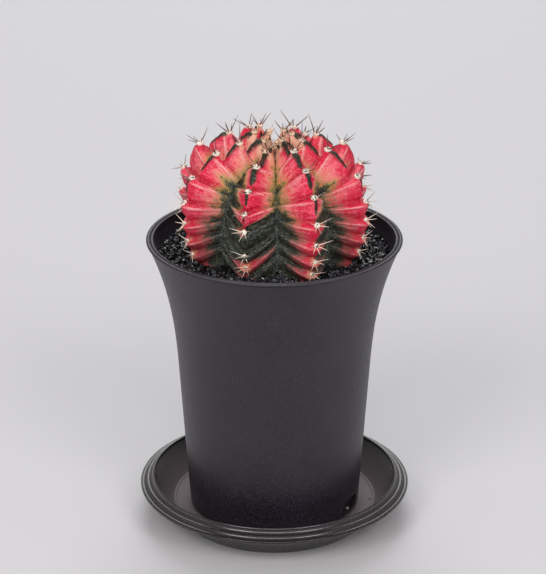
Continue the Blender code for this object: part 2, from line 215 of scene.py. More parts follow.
def add_attribute(mesh: bpy.types.Mesh, name: str, values: Sequence[float]) -> None:
    """Stores one number per vertex for a material to read."""
    layer = mesh.attributes.new(name, "FLOAT", "POINT")
    layer.data.foreach_set("value", np.asarray(values, np.float32).ravel())


@dataclass
class Copy:
    """One placed copy of a modelled shape."""

    shape: int
    place: Matrix
    tone: float = 0.0


def shape_arrays(shape: Piece) -> tuple[np.ndarray, np.ndarray, np.ndarray]:
    """Reads a small modelled shape.

    Args:
        shape: the shape, with an optional "along" attribute.

    Returns:
        Its vertices, its triangles and its "along" numbers.
    """
    mesh = shape.data
    mesh.calc_loop_triangles()
    points = np.zeros((len(mesh.vertices), 3))
    mesh.vertices.foreach_get("co", points.ravel())
    faces = np.zeros((len(mesh.loop_triangles), 3), np.int32)
    mesh.loop_triangles.foreach_get("vertices", faces.ravel())
    along = np.zeros(len(points))
    if "along" in mesh.attributes:
        mesh.attributes["along"].data.foreach_get("value", along)
    return points, faces, along


def scattered(name: str, shapes: Sequence[Piece], copies: Sequence[Copy]) -> Piece:
    """Copies small modelled shapes into one mesh, and removes the shapes.

    Args:
        name: the piece's name.
        shapes: the modelled shapes, each with an optional "along" attribute.
        copies: where each copy goes, and its tone.

    Returns:
        The object that holds all the copies, with attributes "tone" and "along".
    """
    sources = [shape_arrays(shape) for shape in shapes]
    points, faces, tones, alongs, start = [], [], [], [], 0
    for copy in copies:
        source_points, source_faces, along = sources[copy.shape]
        matrix = np.array(copy.place)
        points.append(source_points @ matrix[:3, :3].T + matrix[:3, 3])
        faces.append(source_faces + start)
        tones.append(np.full(len(source_points), copy.tone))
        alongs.append(along)
        start += len(source_points)
    mesh = bpy.data.meshes.new(name)
    mesh.from_pydata(np.concatenate(points).tolist(), [], np.concatenate(faces).tolist())
    add_attribute(mesh, "tone", np.concatenate(tones))
    add_attribute(mesh, "along", np.concatenate(alongs))
    item = bpy.data.objects.new(name, mesh)
    bpy.context.scene.collection.objects.link(item)
    for shape in shapes:
        bpy.data.objects.remove(shape)
    return item


def hand_over(item: Piece, crease: float, material: Material, slot: Slot, *nodes: str) -> None:
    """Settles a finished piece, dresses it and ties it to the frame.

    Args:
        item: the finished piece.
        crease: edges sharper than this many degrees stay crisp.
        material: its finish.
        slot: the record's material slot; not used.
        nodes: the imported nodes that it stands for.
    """
    settle(item, crease)
    item.data.materials.clear()
    item.data.materials.append(material)
    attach(item, BODY)
    if nodes:
        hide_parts(*nodes)
    item.data.calc_loop_triangles()
    LOG.info("%s: %d triangles", item.name, len(item.data.loop_triangles))


# ---------------------------------------------------------------- materials


def tint(red: int, green: int, blue: int) -> Color:
    """A colour from display values, 0 to 255, as the shader wants it."""
    return (*(((value / 255 + 0.055) / 1.055) ** 2.4 if value > 10 else value / 3295
              for value in (red, green, blue)), 1.0)


@dataclass(frozen=True)
class Level:
    """A number or colour that varies over a surface, whose arithmetic adds the nodes for it."""

    board: "Board"
    socket: bpy.types.NodeSocket

    def __add__(self, other: "Value") -> "Level":
        """The sum of two numbers."""
        return self.board.math("ADD", self, other)

    def __sub__(self, other: "Value") -> "Level":
        """The difference of two numbers."""
        return self.board.math("SUBTRACT", self, other)

    def __mul__(self, other: "Value") -> "Level":
        """The product of two numbers."""
        return self.board.math("MULTIPLY", self, other)

    def rise(self, low: float, high: float, to_low: float = 0.0, to_high: float = 1.0) -> "Level":
        """A smooth rise of this number, level outside its range.

        Args:
            low: where the rise starts.
            high: where it ends.
            to_low: what it gives below.
            to_high: what it gives above.

        Returns:
            The risen number.
        """
        node = self.board.node("MapRange", Value=self, From_Min=low, From_Max=high, To_Min=to_low,
                               To_Max=to_high)
        node.interpolation_type = "SMOOTHSTEP"
        return Level(self.board, node.outputs["Result"])


Value = Level | float | Color


class Board:
    """A material's nodes, added one by one and wired as they are added."""

    def __init__(self, name: str) -> None:
        """Starts a material with its Principled shader.

        Args:
            name: the material's name.
        """
        self.material = bpy.data.materials.new(name)
        self.material.use_nodes = True
        self.tree = self.material.node_tree
        self.shader = self.tree.nodes["Principled BSDF"]

    def wire(self, value: Value, socket: bpy.types.NodeSocket) -> None:
        """Links a level to a socket, or sets the socket to a plain value.

        Args:
            value: the level or the value.
            socket: where it goes.
        """
        if isinstance(value, Level):
            self.tree.links.new(value.socket, socket)
        else:
            socket.default_value = value

    def node(self, kind: str, **inputs: Value) -> bpy.types.ShaderNode:
        """Adds a node.

        Args:
            kind: its type.
            inputs: what goes into its sockets by name, with _ for each space.

        Returns:
            The node.
        """
        node = self.tree.nodes.new(f"ShaderNode{kind}")
        for label, value in inputs.items():
            self.wire(value, node.inputs[label.replace("_", " ")])
        return node

    def place(self) -> Level:
        """The piece's own coordinates."""
        return Level(self, self.node("TexCoord").outputs["Object"])

    def surface_map(self, scale: Triple) -> Level:
        """The piece's own UV map, scaled per axis."""
        surface = Level(self, self.node("TexCoord").outputs["UV"])
        return Level(self, self.node("Mapping", Vector=surface, Scale=scale).outputs["Vector"])

    def attribute(self, name: str) -> Level:
        """Reads a number stored on the mesh.

        Args:
            name: the attribute's name.

        Returns:
            The number.
        """
        node = self.node("Attribute")
        node.attribute_name = name
        return Level(self, node.outputs["Fac"])

    def noise(self, place: Level, scale: float, detail: float = 2.0, rough: float = 0.5) -> Level:
        """Soft noise, 0 to 1."""
        node = self.node("TexNoise", Vector=place, Scale=scale, Detail=detail, Roughness=rough)
        return Level(self, node.outputs["Fac"])

    def cells(self, place: Level, scale: float) -> Level:
        """Cell pattern: the distance to the nearest cell's centre."""
        return Level(self, self.node("TexVoronoi", Vector=place, Scale=scale).outputs["Distance"])

    def math(self, operation: str, first: Value, second: Value) -> Level:
        """Arithmetic on two numbers.

        Args:
            operation: what is done.
            first: the first number.
            second: the second number.

        Returns:
            The result.
        """
        node = self.node("Math")
        node.operation = operation
        self.wire(first, node.inputs[0])
        self.wire(second, node.inputs[1])
        return Level(self, node.outputs[0])

    def blend(self, share: Value, first: Value, second: Value, mode: str = "MIX") -> Level:
        """Mixes two colours.

        Args:
            share: how much of the second shows.
            first: the colour under.
            second: the colour over.
            mode: how they mix.

        Returns:
            The mixed colour.
        """
        node = self.node("Mix")
        node.data_type = "RGBA"
        node.blend_type = mode
        for index, value in ((0, share), (6, first), (7, second)):
            self.wire(value, node.inputs[index])
        return Level(self, node.outputs[2])

    def layered(self, base: Value, *layers: tuple[Value, Value]) -> Value:
        """Lays colours over each other.

        Args:
            base: the colour under all.
            layers: (share, colour) pairs, in order.

        Returns:
            The mixed colour.
        """
        for share, over in layers:
            base = self.blend(share, base, over)
        return base

    def bump(self, height: Level, depth: float, strength: float,
             under: Optional[Level] = None) -> Level:
        """A relief, over an earlier one if any.

        Args:
            height: what stands high.
            depth: its depth in metres.
            strength: how much of it shows.
            under: the earlier relief.

        Returns:
            The surface's normal.
        """
        node = self.node("Bump", Height=height, Distance=depth, Strength=strength)
        if under:
            self.wire(under, node.inputs["Normal"])
        return Level(self, node.outputs["Normal"])

    def finish(self, color: Value, roughness: Value, normal: Optional[Level] = None,
               **fixed: object) -> Material:
        """Wires the shader.

        Args:
            color: base colour.
            roughness: roughness.
            normal: relief, if any.
            fixed: other sockets by name, with _ for each space, as plain values.

        Returns:
            The material.
        """
        self.wire(color, self.shader.inputs["Base Color"])
        self.wire(roughness, self.shader.inputs["Roughness"])
        if normal:
            self.wire(normal, self.shader.inputs["Normal"])
        for label, value in fixed.items():
            self.shader.inputs[label.replace("_", " ")].default_value = value
        return self.material


@dataclass(frozen=True)
class SandedPlastic:
    """Moulded charcoal plastic with a fine sanded face that glints, and a little dust; a layer
    marked on the mesh adds more of the pale colour: dust, and on the saucer's wall also a
    painted reflection.
    """

    name: str
    color: Color
    dust_and_reflection: Color
    roughness: float
    specular: float
    grain_depth: float
    speckle: float = 0.25
    dust_share: float = 0.06
    # The next two weigh the mesh's marked layer: dust, and on the saucer's wall also a painted
    # reflection.
    layer_share: float = 0.0
    layer_roughness: float = 0.95

    def build(self) -> Material:
        """Builds the material.

        Returns:
            The finished material.
        """
        board = Board(self.name)
        place = board.place()
        sand = board.noise(place, 1.5 * PER_MM, 3.0, 0.75)
        cloud = board.noise(place, 0.045 * PER_MM, 3.0)
        specks = board.noise(place, 1.3 * PER_MM, 1.0).rise(0.74, 0.8)
        dust_and_reflection_mix = (cloud.rise(0.42, 0.75, 0.0, self.dust_share)
                 + sand.rise(0.45, 0.75, 0.0, self.speckle) + specks * (2 * self.speckle))
        rough = sand.rise(0.3, 0.7, self.roughness * 0.75, self.roughness * 1.25)
        # The marked layer: dust, and on the saucer's wall also a painted reflection.
        if self.layer_share:
            layer = board.attribute("dust_and_reflection") * self.layer_share
            dust_and_reflection_mix, rough = dust_and_reflection_mix + layer, rough + layer * self.layer_roughness
        return board.finish(board.blend(dust_and_reflection_mix, self.color, self.dust_and_reflection), rough,
                            board.bump(sand, self.grain_depth, 0.7),
                            Specular_IOR_Level=self.specular)


@dataclass(frozen=True)
class BrokenStone:
    """Black volcanic grit: dull and dark, with glints on its broken faces."""

    name: str = "black_grit"
    dark: Color = tint(5, 5, 7)
    grey: Color = tint(92, 94, 102)
    roughness: float = 0.1
    specular: float = 0.65

    def build(self) -> Material:
        """Builds the material.

        Returns:
            The finished material.
        """
        board = Board(self.name)
        tone = board.attribute("tone")
        grain = board.noise(board.place(), 1.6 * PER_MM, 3.0, 0.6)
        light = tone.rise(0.45, 1.0, 0.0, 0.8) + grain.rise(0.5, 0.75, 0.0, 0.2)
        rough = tone * -0.06 + grain.rise(0.3, 0.7, self.roughness, self.roughness + 0.2)
        return board.finish(board.blend(light, self.dark, self.grey), rough,
                            board.bump(grain, 0.06 * MM, 0.7), Specular_IOR_Level=self.specular)


@dataclass(frozen=True)
class ShadedGritBed:
    """The bed under the loose grains: the same stone, seen only as dark gaps, its darkness painted
    shade; darkest in the cracks between its chips.
    """

    name: str = "shaded_grit_bed"
    dark: Color = tint(5, 5, 6)
    grey: Color = tint(22, 22, 25)
    roughness: float = 0.6

    def build(self) -> Material:
        """Builds the material.

        Returns:
            The finished material.
        """
        board = Board(self.name)
        place = board.place()
        chips = board.cells(place, 0.75 * PER_MM)
        grain = board.noise(place, 2.2 * PER_MM, 3.0)
        relief = board.bump(grain, 0.2 * MM, 0.7, board.bump(chips, 0.6 * MM, 0.9))
        # Painted shade: dark in the cracks between the chips, grey on their faces.
        return board.finish(board.blend(chips.rise(0.1, 0.7), self.grey, self.dark),
                            self.roughness, relief)


@dataclass(frozen=True)
class VariegatedSkin:
    """Crimson flesh that pales to salmon and olive beside dark green furrows."""

    name: str = "variegated_skin"
    # deep paints the shade in the pleat valleys.
    deep: Color = tint(180, 12, 46)
    crimson: Color = tint(224, 28, 68)
    pink: Color = tint(246, 94, 120)
    # pale paints the highlights on the pleat ridges and on the grain's tops.
    pale: Color = tint(255, 196, 192)
    salmon: Color = tint(242, 154, 132)
    olive: Color = tint(188, 166, 84)
    dull: Color = tint(166, 84, 80)
    root: Color = tint(150, 66, 70)
    # The next colour is multiplied into the grain's low points: dark granules, with painted shade
    # in the pits.
    pit_dark: Color = tint(70, 14, 20)
    green: Color = tint(38, 46, 34)
    black: Color = tint(14, 15, 11)
    # bloom is the skin's grey bloom; on the fold ridges and the grain's tops it also paints a
    # sheen.
    bloom: Color = tint(100, 110, 106)
    fleck: Color = tint(158, 154, 130)
    peach: Color = tint(252, 206, 172)
    cork: Color = tint(224, 150, 118)
    umber: Color = tint(96, 46, 22)
    streaks: Triple = (2.4, 13.0, 1.0)
    specular: float = 0.2
    glow: float = 0.05
    glow_colors: Triple = (1.0, 0.35, 0.25)
    glow_depth: float = 0.5 * MM

    def build(self) -> Material:
        """Builds the material.

        Returns:
            The finished material.
        """
        board = Board(self.name)
        place = board.place()
        grain = board.noise(place, 2.7 * PER_MM, 2.0, 0.75) - 0.5
        patch = board.noise(place, 0.6 * PER_MM, 3.0, 0.6) - 0.5
        broad = board.noise(place, 0.14 * PER_MM) - 0.5
        streak = board.noise(board.surface_map(self.streaks), 1.0, 3.0, 0.7) - 0.5
        flank, fold, age, green, near, strip = (
            board.attribute(name) for name in ("flank", "fold", "age", "green", "near", "strip"))

        pinkish = broad + patch + streak + flank * 0.4
        salmon = green - age * 0.45 + patch * 0.5 + streak * 0.6 + broad * 0.8 + grain * 0.2
        # Painted highlight: pale pink along the pleat ridges.
        ridge = ((fold + grain * 0.35 + streak * 0.5).rise(0.74, 1.1)
                 * flank.rise(0.03, 0.3, 0.2, 0.95))
        # Painted shade: deep crimson in the pleat valleys.
        valley_shade = fold.rise(0.0, 0.22, 0.75, 0.0) * age.rise(0.15, 0.4)
        olive = (green + patch * 0.6 + streak * 0.5 + grain * 0.5
                 - age.rise(0.4, 0.8) * 0.3 - 0.12)
        dull = ((green + patch * 1.3 + grain * 1.6).rise(-0.75, -0.1)
                * age.rise(0.58, 0.84, 0.0, 0.9))
        young = near - age * 2.7 + patch * 0.9
        cork = near + age * 3.0 + patch * 1.5
        flesh = board.layered(
            self.crimson, (pinkish.rise(0.0, 0.42), self.pink),
            (salmon.rise(-0.9, -0.15, 0.0, 0.95), self.salmon), (ridge, self.pale),
            (valley_shade * 0.9, self.deep), (olive.rise(-0.55, -0.1, 0.0, 0.95), self.olive),
            (dull, self.dull), (young.rise(-0.1, 0.5, 0.0, 0.85), self.peach),
            ((age + patch * 0.3).rise(0.8, 1.0, 0.0, 0.65), self.root),
            (cork.rise(3.1, 3.8, 0.0, 0.8), self.cork))
        # Painted shade in the grain's low points, the pits of its relief, over its dark granules;
        # then a painted sheen on the grain's tops.
        flesh = board.blend(grain.rise(-0.3, 0.1, 0.45, 0.0), flesh, self.pit_dark, "MULTIPLY")
        flesh = board.blend(grain.rise(0.04, 0.3, 0.0, 0.65), flesh, self.pale)

        shade = board.blend((patch + grain * 1.1).rise(-0.14, 0.14), self.black, self.green)
        # Grey bloom, stronger on the fold ridges and the grain's tops: the skin's bloom with a
        # painted sheen.
        bloom_and_sheen = (grain + streak * 0.5).rise(-0.1, 0.2) * fold.rise(0.1, 0.95, 0.2, 0.9)
        flecks = grain.rise(0.05, 0.18) * patch.rise(-0.1, 0.15, 0.3, 1.0)
        furrow = board.layered(shade, (bloom_and_sheen, self.bloom), (flecks, self.fleck))
        edge = green + grain * 1.7 + patch + streak * 0.9
        band = strip + patch * 1.2 + grain * 2.6
        line = (flank + grain * 0.1).rise(0.955, 0.985)
        color = board.layered(
            flesh, (edge.rise(-0.12, 0.1), furrow),
            (band.rise(-0.1, 0.3), board.blend(flecks, shade, self.fleck)),
            (line * age.rise(0.28, 0.4, 0.85, 0.0), self.umber),
            (line * age.rise(0.4, 0.6, 0.0, 0.35), self.bloom))
        relief = board.bump(grain, 0.14 * MM, 0.8, board.bump(patch, 0.25 * MM, 0.6))
        return board.finish(color, grain.rise(-0.2, 0.2, 0.40, 0.60), relief,
                            Subsurface_Weight=self.glow, Subsurface_Radius=self.glow_colors,
                            Subsurface_Scale=self.glow_depth, Specular_IOR_Level=self.specular)


@dataclass(frozen=True)
class Felt:
    """Cream wool of an areole, browned at its heart."""

    name: str = "areole_felt"
    cream: Color = tint(246, 238, 222)
    peach: Color = tint(240, 208, 176)
    brown: Color = tint(70, 50, 40)

    def build(self) -> Material:
        """Builds the material.

        Returns:
            The finished material.
        """
        board = Board(self.name)
        place = board.place()
        fuzz = board.noise(place, 5.0 * PER_MM)
        spots = board.noise(place, 1.5 * PER_MM, 1.0)
        heart = spots + board.attribute("along").rise(0.35, 1.0) * -0.12 + fuzz * 0.12
        color = board.layered(
            self.peach, ((board.attribute("tone") + spots * 0.2).rise(0.22, 0.42), self.cream),
            (heart.rise(0.54, 0.62, 0.0, 0.95), self.brown))
        return board.finish(color, 0.9, board.bump(fuzz, 0.08 * MM, 0.8), Sheen_Weight=0.3,
                            Sheen_Roughness=0.6)


@dataclass(frozen=True)
class SpineHorn:
    """Horny spines: ivory when old and low, brown-grey with dark tips when young."""

    name: str = "spine_horn"
    ivory: Color = tint(250, 232, 212)
    rose: Color = tint(196, 130, 112)
    gold: Color = tint(232, 186, 140)
    brown: Color = tint(88, 60, 54)
    tip: Color = tint(44, 32, 32)

    def build(self) -> Material:
        """Builds the material.

        Returns:
            The finished material.
        """
        board = Board(self.name)
        along, tone = board.attribute("along"), board.attribute("tone")
        grain = board.noise(board.place(), 2.5 * PER_MM)
        newest = board.blend(along.rise(0.3, 0.9), self.gold, self.rose)
        young = board.layered(self.rose, (along.rise(0.0, 0.28), self.brown),
                              (along.rise(0.72, 0.98), self.tip))
        old = board.layered(self.ivory, (along.rise(0.0, 0.3, 0.4, 0.0), self.rose),
                            (along.rise(0.8, 1.0, 0.0, 0.25), self.brown))
        color = board.layered(newest, (tone.rise(0.07, 0.16), young),
                              ((tone + (grain - 0.5) * 0.2).rise(0.56, 0.7), old))
        return board.finish(color, 0.42, board.bump(grain, 0.03 * MM, 0.5))


@dataclass(frozen=True)
class ChalkCrumb:
    """A pale porous crumb of potting mineral."""

    name: str = "chalk_crumb"
    pit: Color = tint(120, 112, 96)
    chalk: Color = tint(226, 220, 200)

    def build(self) -> Material:
        """Builds the material.

        Returns:
            The finished material.
        """
        board = Board(self.name)
        pit_dark = board.noise(board.place(), 3.0 * PER_MM, 3.0)
        color = board.blend(pit_dark.rise(0.35, 0.65), self.pit, self.chalk)
        return board.finish(color, 0.85, board.bump(pit_dark, 0.15 * MM, 0.8))


@dataclass(frozen=True)
class StudioPaper:
    """The pale seamless floor."""

    name: str = "studio_paper"
    color: Color = tint(205, 204, 206)

    def build(self) -> Material:
        """The finished material, plain all over."""
        return Board(self.name).finish(self.color, 0.85, Specular_IOR_Level=0.2)


# ---------------------------------------------------------------- saucer and pot


@dataclass
class Saucer:
    """The round tray: foot ring, flat floor, sloping wall and a rolled rim of two beads.

    beads holds (share of the rim, swell) pairs; steps are (outward, upward) in mm.
    """

    foot_r: float = 34.9 * MM
    foot_width: float = 2.2 * MM
    foot_height: float = 2.8 * MM
    floor_z: float = 4.8 * MM
    floor_r: float = 37.2 * MM
    pot_r: float = 30.5 * MM
    wall: float = 1.7 * MM
    mouth: Point = (44.1 * MM, 15.0 * MM)
    rim: Point = (49.0 * MM, 11.9 * MM)
    rim_depth: float = 0.9 * MM
    bead: float = 0.6 * MM
    beads: tuple[Point, ...] = ((0.0, 0.35), (0.09, 1.0), (0.47, 1.0), (0.86, 0.3), (1.0, 0.0))
    bead_points: int = 10
    lip_steps: tuple[Point, ...] = ((-0.9, 0.12), (-0.3, 0.15), (-0.05, 0.4))
    undercut_steps: tuple[Point, ...] = ((-0.2, -0.1), (-0.35, -0.6), (0.4, -0.8), (0.3, -1.6))
    ring_inset: float = 0.7 * MM
    ring_size: Point = (0.55 * MM, 0.28 * MM)
    # The pale layer stops below the rim: dust on the floor, and up the inner wall dust with a
    # painted reflection.
    layer_top: float = 13.5 * MM
    finish: SandedPlastic = field(default_factory=lambda: SandedPlastic(
        "saucer_plastic", tint(32, 27, 31), tint(112, 100, 103), roughness=0.235, specular=0.75,
        grain_depth=0.014 * MM, speckle=0.1, layer_share=0.6))

    def rim_points(self) -> list[Point]:
        """The rolled rim from its lower lip up over both beads to the mouth.

        Returns:
            (radius, height) points.
        """
        low, high = Vector(self.rim), Vector(self.mouth)
        slope = high - low
        inward = Vector((-slope.y, slope.x)).normalized() * self.bead
        last = self.bead_points - 1
        points = []
        for (start, swell), (end, _) in zip(self.beads, self.beads[1:]):
            for index in range(self.bead_points):
                share = start + (end - start) * index / last
                crown = 0.2 * math.sin(math.pi * share) ** 0.8
                bulge = swell * math.sin(math.pi * index / last) ** 0.55
                point = low.lerp(high, share) + inward * (crown + bulge)
                points.append((min(point.x, low.x), min(point.y, high.y)))
        return points

    def dust_and_reflection(self, place: Vector) -> float:
        """How much of the pale layer lies at a place: dust on the open floor; up the wall, dust
        with a painted reflection that grows lighter towards the top; none beyond.

        Args:
            place: a place on the tray.

        Returns:
            The layer's share.
        """
        reach = place.xy.length
        inside = self.pot_r < reach < self.mouth[0]
        if not (inside and self.floor_z - MERGE <= place.z <= self.layer_top):
            return 0.0
        if reach < self.floor_r:
            return 0.85
        # Up the wall: dust, with a painted reflection that grows lighter towards the top.
        return 0.7 + 0.9 * (place.z - self.floor_z) / (self.mouth[1] - self.floor_z)

    def outline(self) -> list[Point]:
        """The tray's outline, from the middle of its underside round to the middle of its floor.

        Returns:
            (radius, height) points.
        """
        floor_edge = Vector((self.floor_r, self.floor_z))
        lean = (Vector(self.mouth) - floor_edge).normalized()
        wall_low = floor_edge + Vector((lean.y, -lean.x)) * self.wall
        under_z = self.rim[1] - self.rim_depth
        wall_high = wall_low + lean * ((under_z - wall_low.y) / lean.y)
        ledge_r = self.foot_r - self.foot_width
        outline = [(0.0, self.foot_height)]
        outline += stepped((ledge_r, self.foot_height), (-0.6, 0.0), (0.0, -0.5))
        outline += stepped((ledge_r, 0.0), (0.0, 0.15), (0.2, 0.0))
        outline += stepped((self.foot_r, 0.0), (-0.2, 0.0), (0.0, 0.2))
        outline += stepped((wall_low.x, wall_low.y), (-0.1, 0.0)) + [tuple(wall_high)]
        outline += stepped((wall_high.x, under_z), (0.3, 0.1))
        outline += stepped((self.rim[0], under_z), *self.lip_steps)
        outline += self.rim_points()
        outline += stepped(self.mouth, *self.undercut_steps)
        outline += stepped((self.floor_r, self.floor_z), (0.35, 0.5), (0.0, 0.1))
        for index in range(9):
            turn = math.pi * index / 8
            outline.append((self.floor_r - self.ring_inset + self.ring_size[0] * math.cos(turn),
                            self.floor_z + self.ring_size[1] * math.sin(turn)))
        return outline + stepped((self.pot_r, self.floor_z), (1.0, 0.0), (-1.0, 0.0)) + [
            (0.0, self.floor_z)]

    def build(self) -> None:
        """Builds and dresses the tray."""
        item = turned("saucer_tray", self.outline())
        add_attribute(item.data, "dust_and_reflection", [self.dust_and_reflection(vert.co) for vert in item.data.vertices])
        hand_over(item, 30.0, self.finish.build(), Slot.SAUCER, "saucer")


@dataclass
class Pot:
    """The tall pot: a nearly straight wall that flares to a lip of two beads, with two drain slots.

    lip_bead and inner_bead hold (outward, upward, radius, start, end, points) of each arc: its
    centre from the lip's top edge and its radius in mm, and its angles in degrees.
    """

    foot_r: float = 30.8 * MM
    corner: float = 0.9 * MM
    taper: float = 0.066
    flare_z: float = 59.6 * MM
    flare: float = 7.44 * MM
    flare_power: float = 2.46
    wall: float = 1.6 * MM
    floor_lift: float = 1.5 * MM
    foot_width: float = 3.0 * MM
    rim_r: float = 45.0 * MM
    under_lip: tuple[Point, ...] = ((-1.0, -1.0), (-0.8, -0.9))
    lip_bead: tuple[tuple[float, ...], ...] = (
        (-0.45, -0.5, 0.45, -75, 60, 9), (-0.8, -0.62, 0.62, 70, 150, 6))
    groove: tuple[Point, ...] = ((-1.42, -0.38), (-1.56, -0.48), (-1.7, -0.36))
    inner_bead: tuple[tuple[float, ...], ...] = (
        (-2.08, -0.46, 0.42, 60, 120, 2), (-2.14, -0.47, 0.46, 90, 180, 6))
    lip_drop: float = 2.6 * MM
    drain_r: float = 5.0 * MM
    slot_azimuths: Point = (62.5, 242.5)
    slot_width: float = 11.0 * MM
    slot_top: float = 11.2 * MM
    slot_shoulder: float = 2.4 * MM
    slot_depth: Point = (28.2 * MM, 35.2 * MM)
    rows: int = 44
    base_z: float = 0.0
    top_z: float = 0.0
    finish: SandedPlastic = field(default_factory=lambda: SandedPlastic(
        "pot_plastic", tint(24, 19, 29), tint(90, 80, 94), roughness=0.46, specular=0.6,
        grain_depth=0.07 * MM))

    def __post_init__(self) -> None:
        """Takes the pot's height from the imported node."""
        low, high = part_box("pot")
        self.base_z, self.top_z = low.z, high.z

    def radius(self, height: float) -> float:
        """The wall's outer radius at a height."""
        flare = max(0.0, (height - self.flare_z) / (self.top_z - self.flare_z))
        return (self.foot_r + self.taper * (height - self.base_z)
                + self.flare * flare ** self.flare_power)

    def lip_points(self) -> list[Point]:
        """The lip from its outer edge in: a broad bead, a groove and a narrow bead.

        Returns:
            (radius, height) points.
        """
        edge = (self.rim_r, self.top_z)
        points = stepped(edge, *self.under_lip)
        for arcs, steps in ((self.lip_bead, self.groove), (self.inner_bead, ())):
            for out, up, radius, start, end, count in arcs:
                centre = stepped(edge, (out, up))[0]
                points += arc_points(centre, radius * MM, start, end, count)
            points += stepped(edge, *steps)
        return points

    def outline(self) -> list[Point]:
        """The ring-shaped outline, from the drain hole out under the foot, over the lip and in.

        Returns:
            (radius, height) points.
        """
        under_z = self.base_z + self.floor_lift
        floor_z = under_z + self.wall
        foot_inner = self.foot_r - self.foot_width
        corner = (self.foot_r - self.corner, self.base_z + self.corner)
        outline = [(self.drain_r, under_z), (foot_inner - self.floor_lift, under_z)]
        outline += stepped((foot_inner, self.base_z), (0.0, 0.15), (0.2, 0.0))
        outline += arc_points(corner, self.corner, -90, 0, 7)
        rising = np.linspace(corner[1] + 0.3 * MM, self.top_z - 1.1 * MM, self.rows).tolist()
        outline += [(self.radius(height), height) for height in rising]
        outline += self.lip_points()
        falling = np.linspace(self.top_z - self.lip_drop, floor_z, self.rows).tolist()
        outline += [(self.radius(height) - self.wall, height) for height in falling]
        return outline + [(self.drain_r, floor_z)]

    def slot_cutter(self, azimuth: float) -> Piece:
        """A shouldered block that cuts one drain slot.

        Args:
            azimuth: where the slot faces.

        Returns:
            The cutter.
        """
        deselect()
        below = self.base_z - MM
        near, far = self.slot_depth
        bpy.ops.mesh.primitive_cube_add(
            size=1.0, location=(0.0, -(near + far) / 2, (below + self.slot_top) / 2),
            scale=(self.slot_width, far - near, self.slot_top - below))
        cutter = named("slot_cutter")
        bpy.ops.object.transform_apply(location=True, rotation=True, scale=True)
        with editing(cutter):
            bpy.ops.mesh.select_mode(type="EDGE")
            bpy.ops.mesh.select_all(action="DESELECT")
        verts = cutter.data.vertices
        for edge in cutter.data.edges:
            one, other = (verts[index].co for index in edge.vertices)
            edge.select = (min(one.z, other.z) > self.slot_top - MERGE
                           and abs(one.x + other.x) > MM)
        bpy.ops.object.mode_set(mode="EDIT")
        bpy.ops.mesh.bevel(offset=self.slot_shoulder, segments=5, profile=0.45)
        bpy.ops.mesh.select_all(action="SELECT")
        bpy.ops.transform.rotate(value=-math.radians(azimuth), orient_axis="Z",
                                 center_override=ORIGIN)
        bpy.ops.mesh.select_mode(type="VERT")
        bpy.ops.object.mode_set(mode="OBJECT")
        return cutter

    def build(self) -> None:
        """Builds and dresses the pot."""
        item = turned("pot_body", self.outline(), closed=True)
        for azimuth in self.slot_azimuths:
            cutter = self.slot_cutter(azimuth)
            pick(item)
            modifier = item.modifiers.new("slot", "BOOLEAN")
            modifier.operation = "DIFFERENCE"
            modifier.solver = "EXACT"
            modifier.object = cutter
            bpy.ops.object.modifier_apply(modifier=modifier.name)
            bpy.data.objects.remove(cutter)
        hand_over(item, 30.0, self.finish.build(), Slot.POT, "pot")


# ---------------------------------------------------------------- the plant's form


def ramp(values: np.ndarray, start: float, span: float) -> np.ndarray:
    """How far values are past a start, as a share of a span, 0 to 1."""
    return np.clip((values - start) / span, 0, 1)


def hump(values: np.ndarray, middle: float, width: float) -> np.ndarray:
    """A soft hump, 1 in its middle."""
    return np.exp(-(((values - middle) / width) ** 2))


@dataclass(frozen=True)
class Flank:
    """How one flank of a rib is marked.

    dark holds (distance from the crown in mm, share) pairs: the flank is green from that share to
    its furrow. A share under 0 greens the crest too.
    """

    dark: tuple[Point, ...]

    @classmethod
    def grown(cls, start: float, waist: float, foot: float) -> "Flank":
        """A flank whose green flames out of the furrow, draws back, and widens again.

        Args:
            start: where it flames out, in mm from the crown.
            waist: the share that it reaches there.
            foot: the share that it reaches at the foot.

        Returns:
            The flank.
        """
        return cls(((start - 5, 1.0), (start, 0.95), (start + 3, waist),
                    (start + 7, (waist + 2) / 3 + 0.05), (start + 16, 0.85),
                    (52, (waist + foot) / 2), (68, foot)))

    def edge(self, arcs: np.ndarray) -> np.ndarray:
        """The share at which the green begins, at distances from the crown."""
        reach, share = zip(*self.dark)
        return np.interp(arcs / MM, reach, share)


@dataclass(frozen=True)
class Rib:
    """One rib: where it faces, how deep it is, how its folds climb, its areoles and its marks.

    climb is how far the folds rise on their way to the furrows, in mm; areoles are distances from
    the crown in mm; long_side is the side to which its longest spines turn.
    """

    azimuth: float
    depth: float
    climb: float
    areoles: tuple[float, ...]
    left: Flank
    right: Flank
    long_side: int = 1


